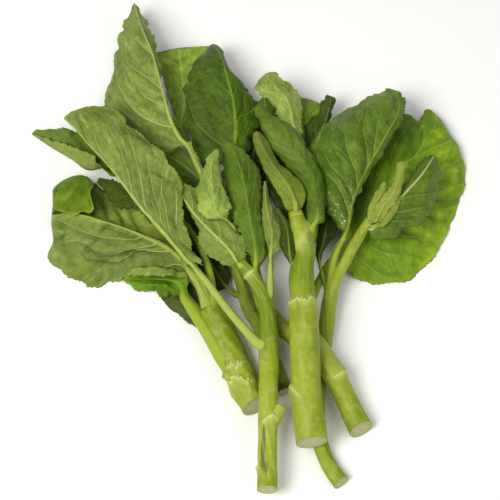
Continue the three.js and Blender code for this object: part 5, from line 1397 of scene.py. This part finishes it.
STALK_SEED = 1
STALK_STEP = 0.7  # distance between rings
STALK_SIDES = 72
THIN = 3.0  # a branch thinner than this has half as many sides
STALK_SAMPLES = 500  # points read along a branch to measure it
BRANCH_SAMPLES = 120  # points of a branch that others keep their distance from
FEWEST_RINGS = 6
RIB_HEIGHT = 0.07
RIB_COUNTS = (5, 8, 13)  # long ribs around a stalk
RIB_DRIFT = 160.0  # length over which the ribs wind to and fro
BUMP_HEIGHT, BUMP_LENGTH = 0.25, 45.0
SCAR_GLOW = 2.2  # how far below its step a scar is pale
LIP_HEIGHT, LIP_HALF = 0.35, 0.9  # of the torn edge along that step
FILLET = 5.0  # how wide the hollow between two joined branches is filled
JOINT_PALE, JOINT_WIDE = 0.45, 1.5  # pale line along it
CUT_ROUGH = 0.18
CUT_BULGE = 0.5
TENDER = (400.0, 500.0)  # distances from the cut between which a stalk turns greener
CUT_FADE = 9.0  # distance from the cut in which its lean is made up for
CAP_SHARES = np.array([0.97, 0.9, 0.75, 0.5, 0.25])  # rings that close the end of a stalk


def away_from(points, spec):
    """Signed distance of points from the plain tube of another branch."""
    at = np.linspace(0, 1, BRANCH_SAMPLES)
    nearest = np.full(points.shape[:2], np.inf)
    for centre, radius in zip(spline(spec["path"], at), read_along(spec["radius"], at)):
        nearest = np.minimum(nearest, np.linalg.norm(points - centre, axis=-1) - radius)
    return nearest


def angle_apart(angle, middle):
    return np.abs((angle - math.radians(middle) + math.pi) % (2 * math.pi) - math.pi)


def scar_height(scar, length, angle, rng):
    """Height and paleness of a leaf scar: it rises slowly from below and ends in a ragged step."""
    apart = angle_apart(angle, scar["angle"])[None, :]
    wide = math.radians(scar["spread"])
    there = np.exp(-((apart / wide) ** 4)) if scar["spread"] < 170 else np.ones_like(apart)
    ragged = wander(angle[None, :] / (2 * math.pi) * 3, rng, 6) + 0.5 * rng.uniform(-1, 1, len(angle))
    past = length[:, None] - (scar["at"] + scar["jag"] * ragged - scar.get("vee", 0.0) * apart / wide)
    swell = smooth_step(-scar["rise"], 0, past) * (1 - smooth_step(0, scar["drop"], past))
    torn = 1 + 0.8 * rng.uniform(-1, 1, len(angle))
    lip = LIP_HEIGHT * np.exp(-(((past + 0.5) / LIP_HALF) ** 2)) * torn[None, :]
    glow = 0.5 * np.exp(np.minimum(past, 0) / scar.get("glow", SCAR_GLOW)) * (past < 0)
    pale = (np.exp(-np.abs(past + 0.6) / LIP_HALF) + glow) * there
    return (scar["height"] * swell + lip) * there, np.minimum(pale, 1.0)


def cap_rings(ring, way, radius, rough, rng):
    """Smaller rings that close the end of a tube, flat and rough for a cut and round otherwise."""
    middle = ring.mean(0)
    rings = []
    for share in CAP_SHARES:
        if rough:
            lift = CUT_ROUGH * rng.uniform(-1, 1, len(ring))[:, None] * (share < 0.9)
            lift = lift + CUT_BULGE * (1 - share) * (share < 0.95)
        else:
            lift = 0.5 * radius * math.sqrt(1 - share ** 2)
        rings.append(middle + (ring - middle) * share + way * lift)
    return np.array(rings)


def build_tube(spec, others, rng, cut):
    """Points, faces, material slots and attributes of one branch; its start is cut or not."""
    sides = STALK_SIDES if spec["radius"][0] > THIN else STALK_SIDES // 2
    at, dense, run = even_steps(spec["path"], STALK_STEP, FEWEST_RINGS, STALK_SAMPLES)
    centre, radius = spline(spec["path"], at), read_along(spec["radius"], at)
    length = np.interp(at, dense, run)
    forward = unit(np.gradient(centre, axis=0))
    up = np.array([0, 0, 1.0])
    up = unit(up - forward * (forward @ up)[:, None])
    side = np.cross(forward, up)
    angle = 2 * math.pi * np.arange(sides) / sides
    out = up[:, None] * np.cos(angle)[None, :, None] + side[:, None] * np.sin(angle)[None, :, None]

    drift = wander(length[:, None] / RIB_DRIFT, rng, 2)
    ribs = np.zeros((len(length), sides))
    for lobes in RIB_COUNTS:
        phase = rng.uniform(0, 2 * math.pi)
        ribs += np.sin(lobes * angle[None, :] + phase + 1.5 * drift) * 5 / lobes
    height = RIB_HEIGHT * ribs * np.clip(radius / 7, 0.3, 1)[:, None]
    height += BUMP_HEIGHT * wander(length[:, None] / BUMP_LENGTH + 0.6 * np.sin(angle)[None, :], rng, 3)
    pale = np.zeros_like(height)
    for scar in spec.get("scars", []):
        more, light = scar_height(scar, length, angle, rng)
        height += more
        pale = np.maximum(pale, light)
    bruise = np.zeros_like(height)
    for place, middle, long, wide in spec.get("bruises", []):
        spot = ((length[:, None] - place) / long) ** 2
        spot = spot + (angle_apart(angle, middle)[None, :] / math.radians(wide)) ** 2
        bruise = np.maximum(bruise, np.exp(-spot))
    points = centre[:, None] + out * (radius[:, None] + height)[..., None]
    for other in others:
        near = away_from(points, other)
        fillet = min(FILLET, 0.7 * other["radius"][0])
        gain = np.clip(1 - np.maximum(near, 0) / fillet, 0, 1) ** 2 * fillet / 4
        points += out * gain[..., None]
        pale = np.maximum(pale, JOINT_PALE * np.exp(-np.abs(near) / JOINT_WIDE))
    lean = math.tan(math.radians(spec.get("cut_lean", 0)))
    slide = lean * radius[:, None] * np.cos(angle) * (1 - smooth_step(0, CUT_FADE, length))[:, None]
    points += forward[:, None] * slide[..., None]

    end_cut = spec.get("cut_end", False)
    start = cap_rings(points[0], -forward[0], radius[0], cut, rng)
    end = cap_rings(points[-1], forward[-1], radius[-1], end_cut, rng)
    rings = np.concatenate([start[::-1], points, end])
    count, inner = len(rings), len(CAP_SHARES)
    points, faces = closed_tube(rings, rings[-1].mean(0), rings[0].mean(0))
    row = np.repeat(np.arange(count - 1), sides)
    slots = np.where((row < inner) & cut | (row >= count - 1 - inner) & end_cut, 1, 0)
    slots = np.concatenate([slots, np.full(sides, int(end_cut)), np.full(sides, int(cut))])

    def widen(field):
        """Values of the rings for all points: the caps take those of the ring they close."""
        return with_ends(np.pad(np.broadcast_to(field, height.shape), ((inner, inner), (0, 0)), "edge"))

    rim = np.concatenate([CAP_SHARES[::-1], np.ones(len(length)), CAP_SHARES])
    rim = np.concatenate([np.repeat(rim, sides), [0, 0]])
    around = radius[:, None]
    green = widen(smooth_step(*spec.get("tender", TENDER), length)[:, None])
    x, y = (widen(around * wave(angle)) * rim for wave in (np.cos, np.sin))
    return points, faces, slots, {
        "stem": np.stack([x, y, widen(length[:, None])], axis=1),
        "mark": np.stack([widen(pale), widen(bruise), rim], axis=1),
        "tender": np.stack([green] * 3, axis=1),
    }


def build_stalk(stalk, number):
    rng = np.random.default_rng(number + STALK_SEED)
    tubes = [stalk] + stalk.get("branches", []) + stalk.get("stubs", [])
    faces, parts = [], []
    for tube in tubes:
        offset = sum(len(part[0]) for part in parts)
        parts.append(build_tube(tube, [other for other in tubes if other is not tube], rng, tube is stalk))
        faces += [[i + offset for i in face] for face in parts[-1][1]]
    points = np.concatenate([part[0] for part in parts])
    points[:, 2] = np.maximum(points[:, 2], LAYOUT_FLOOR)
    slots = np.concatenate([part[2] for part in parts])
    attributes = {name: np.concatenate([part[3][name] for part in parts]) for name in parts[0][3]}
    return make_piece(stalk["name"] + "_looks", points, faces, slots, STALK_MATERIALS, attributes)


# ---- the bunch ----


def hand_over(piece, replaced):
    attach(piece, "root")
    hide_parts(replaced)


for number, stalk in enumerate(STALKS):
    hand_over(build_stalk(stalk, number), stalk["name"])
for number, leaf in enumerate(LEAVES):
    hand_over(build_leaf(leaf, number), leaf["name"])

# ---- floor, light and camera ----

VIEW_ELEVATION = math.radians(68.0)
VIEW_DISTANCE = 850.0
VIEW_TARGET = np.array([0.0, 0.0, 25.0])
LENS = 100.0
SENSOR = 36.0
FLOOR_HALF = 3.0  # metres from the middle of the floor to its sides
PAPER, PAPER_SHADE = srgb(252, 252, 250), srgb(249, 249, 247)
WHITE = (1.0, 1.0, 1.0)
LIT_POINT = (0, 0, 0.02)
WORLD_STRENGTH = 0.3
LIGHTS = (  # name, place, size, power, colour
    ("key", (-0.5, -0.35, 0.95), 0.6, 11.0, (1.0, 0.985, 0.95)),
    ("fill", (0.7, -0.5, 0.8), 0.8, 3.2, WHITE),
    ("back", (0.1, 0.9, 0.9), 0.8, 1.6, WHITE),
)


def build_floor():
    n = Nodes("floor_paper", 0.9, 0.2)
    cloudy = n.noise(n.place(), 3.0).step(0.3, 0.7, 0.0, 0.3)
    n.put(n.mix(cloudy, PAPER, PAPER_SHADE), n.shader.inputs["Base Color"])
    mesh = bpy.data.meshes.new("floor")
    corners = [(x * FLOOR_HALF, y * FLOOR_HALF, 0) for x, y in ((-1, -1), (1, -1), (1, 1), (-1, 1))]
    mesh.from_pydata(corners, [], [(0, 1, 2, 3)])
    mesh.materials.append(n.material)
    floor = bpy.data.objects.new("floor", mesh)
    bpy.context.scene.collection.objects.link(floor)


def aim(thing, place, target):
    thing.location = place
    thing.rotation_euler = (Vector(target) - Vector(place)).to_track_quat("-Z", "Y").to_euler()
    bpy.context.scene.collection.objects.link(thing)


def build_light(name, place, size, power, colour):
    lamp = bpy.data.lights.new(name, "AREA")
    lamp.size = size
    lamp.energy = power
    lamp.color = colour
    aim(bpy.data.objects.new(name, lamp), place, LIT_POINT)


def build_world():
    world = bpy.data.worlds.new("studio")
    world.use_nodes = True
    background = world.node_tree.nodes["Background"]
    background.inputs["Color"].default_value = (*WHITE, 1.0)
    background.inputs["Strength"].default_value = WORLD_STRENGTH
    bpy.context.scene.world = world


def build_camera():
    view = bpy.data.cameras.new("view")
    view.lens = LENS
    view.sensor_width = SENSOR
    camera = bpy.data.objects.new("view", view)
    reach = VIEW_DISTANCE * np.array([0, -math.cos(VIEW_ELEVATION), math.sin(VIEW_ELEVATION)])
    target = (VIEW_TARGET - ORIGIN) * MM
    aim(camera, tuple(target + reach * MM), tuple(target))
    bpy.context.scene.camera = camera


bpy.context.scene.view_settings.view_transform = "Standard"
build_floor()
build_world()
for light in LIGHTS:
    build_light(*light)
build_camera()
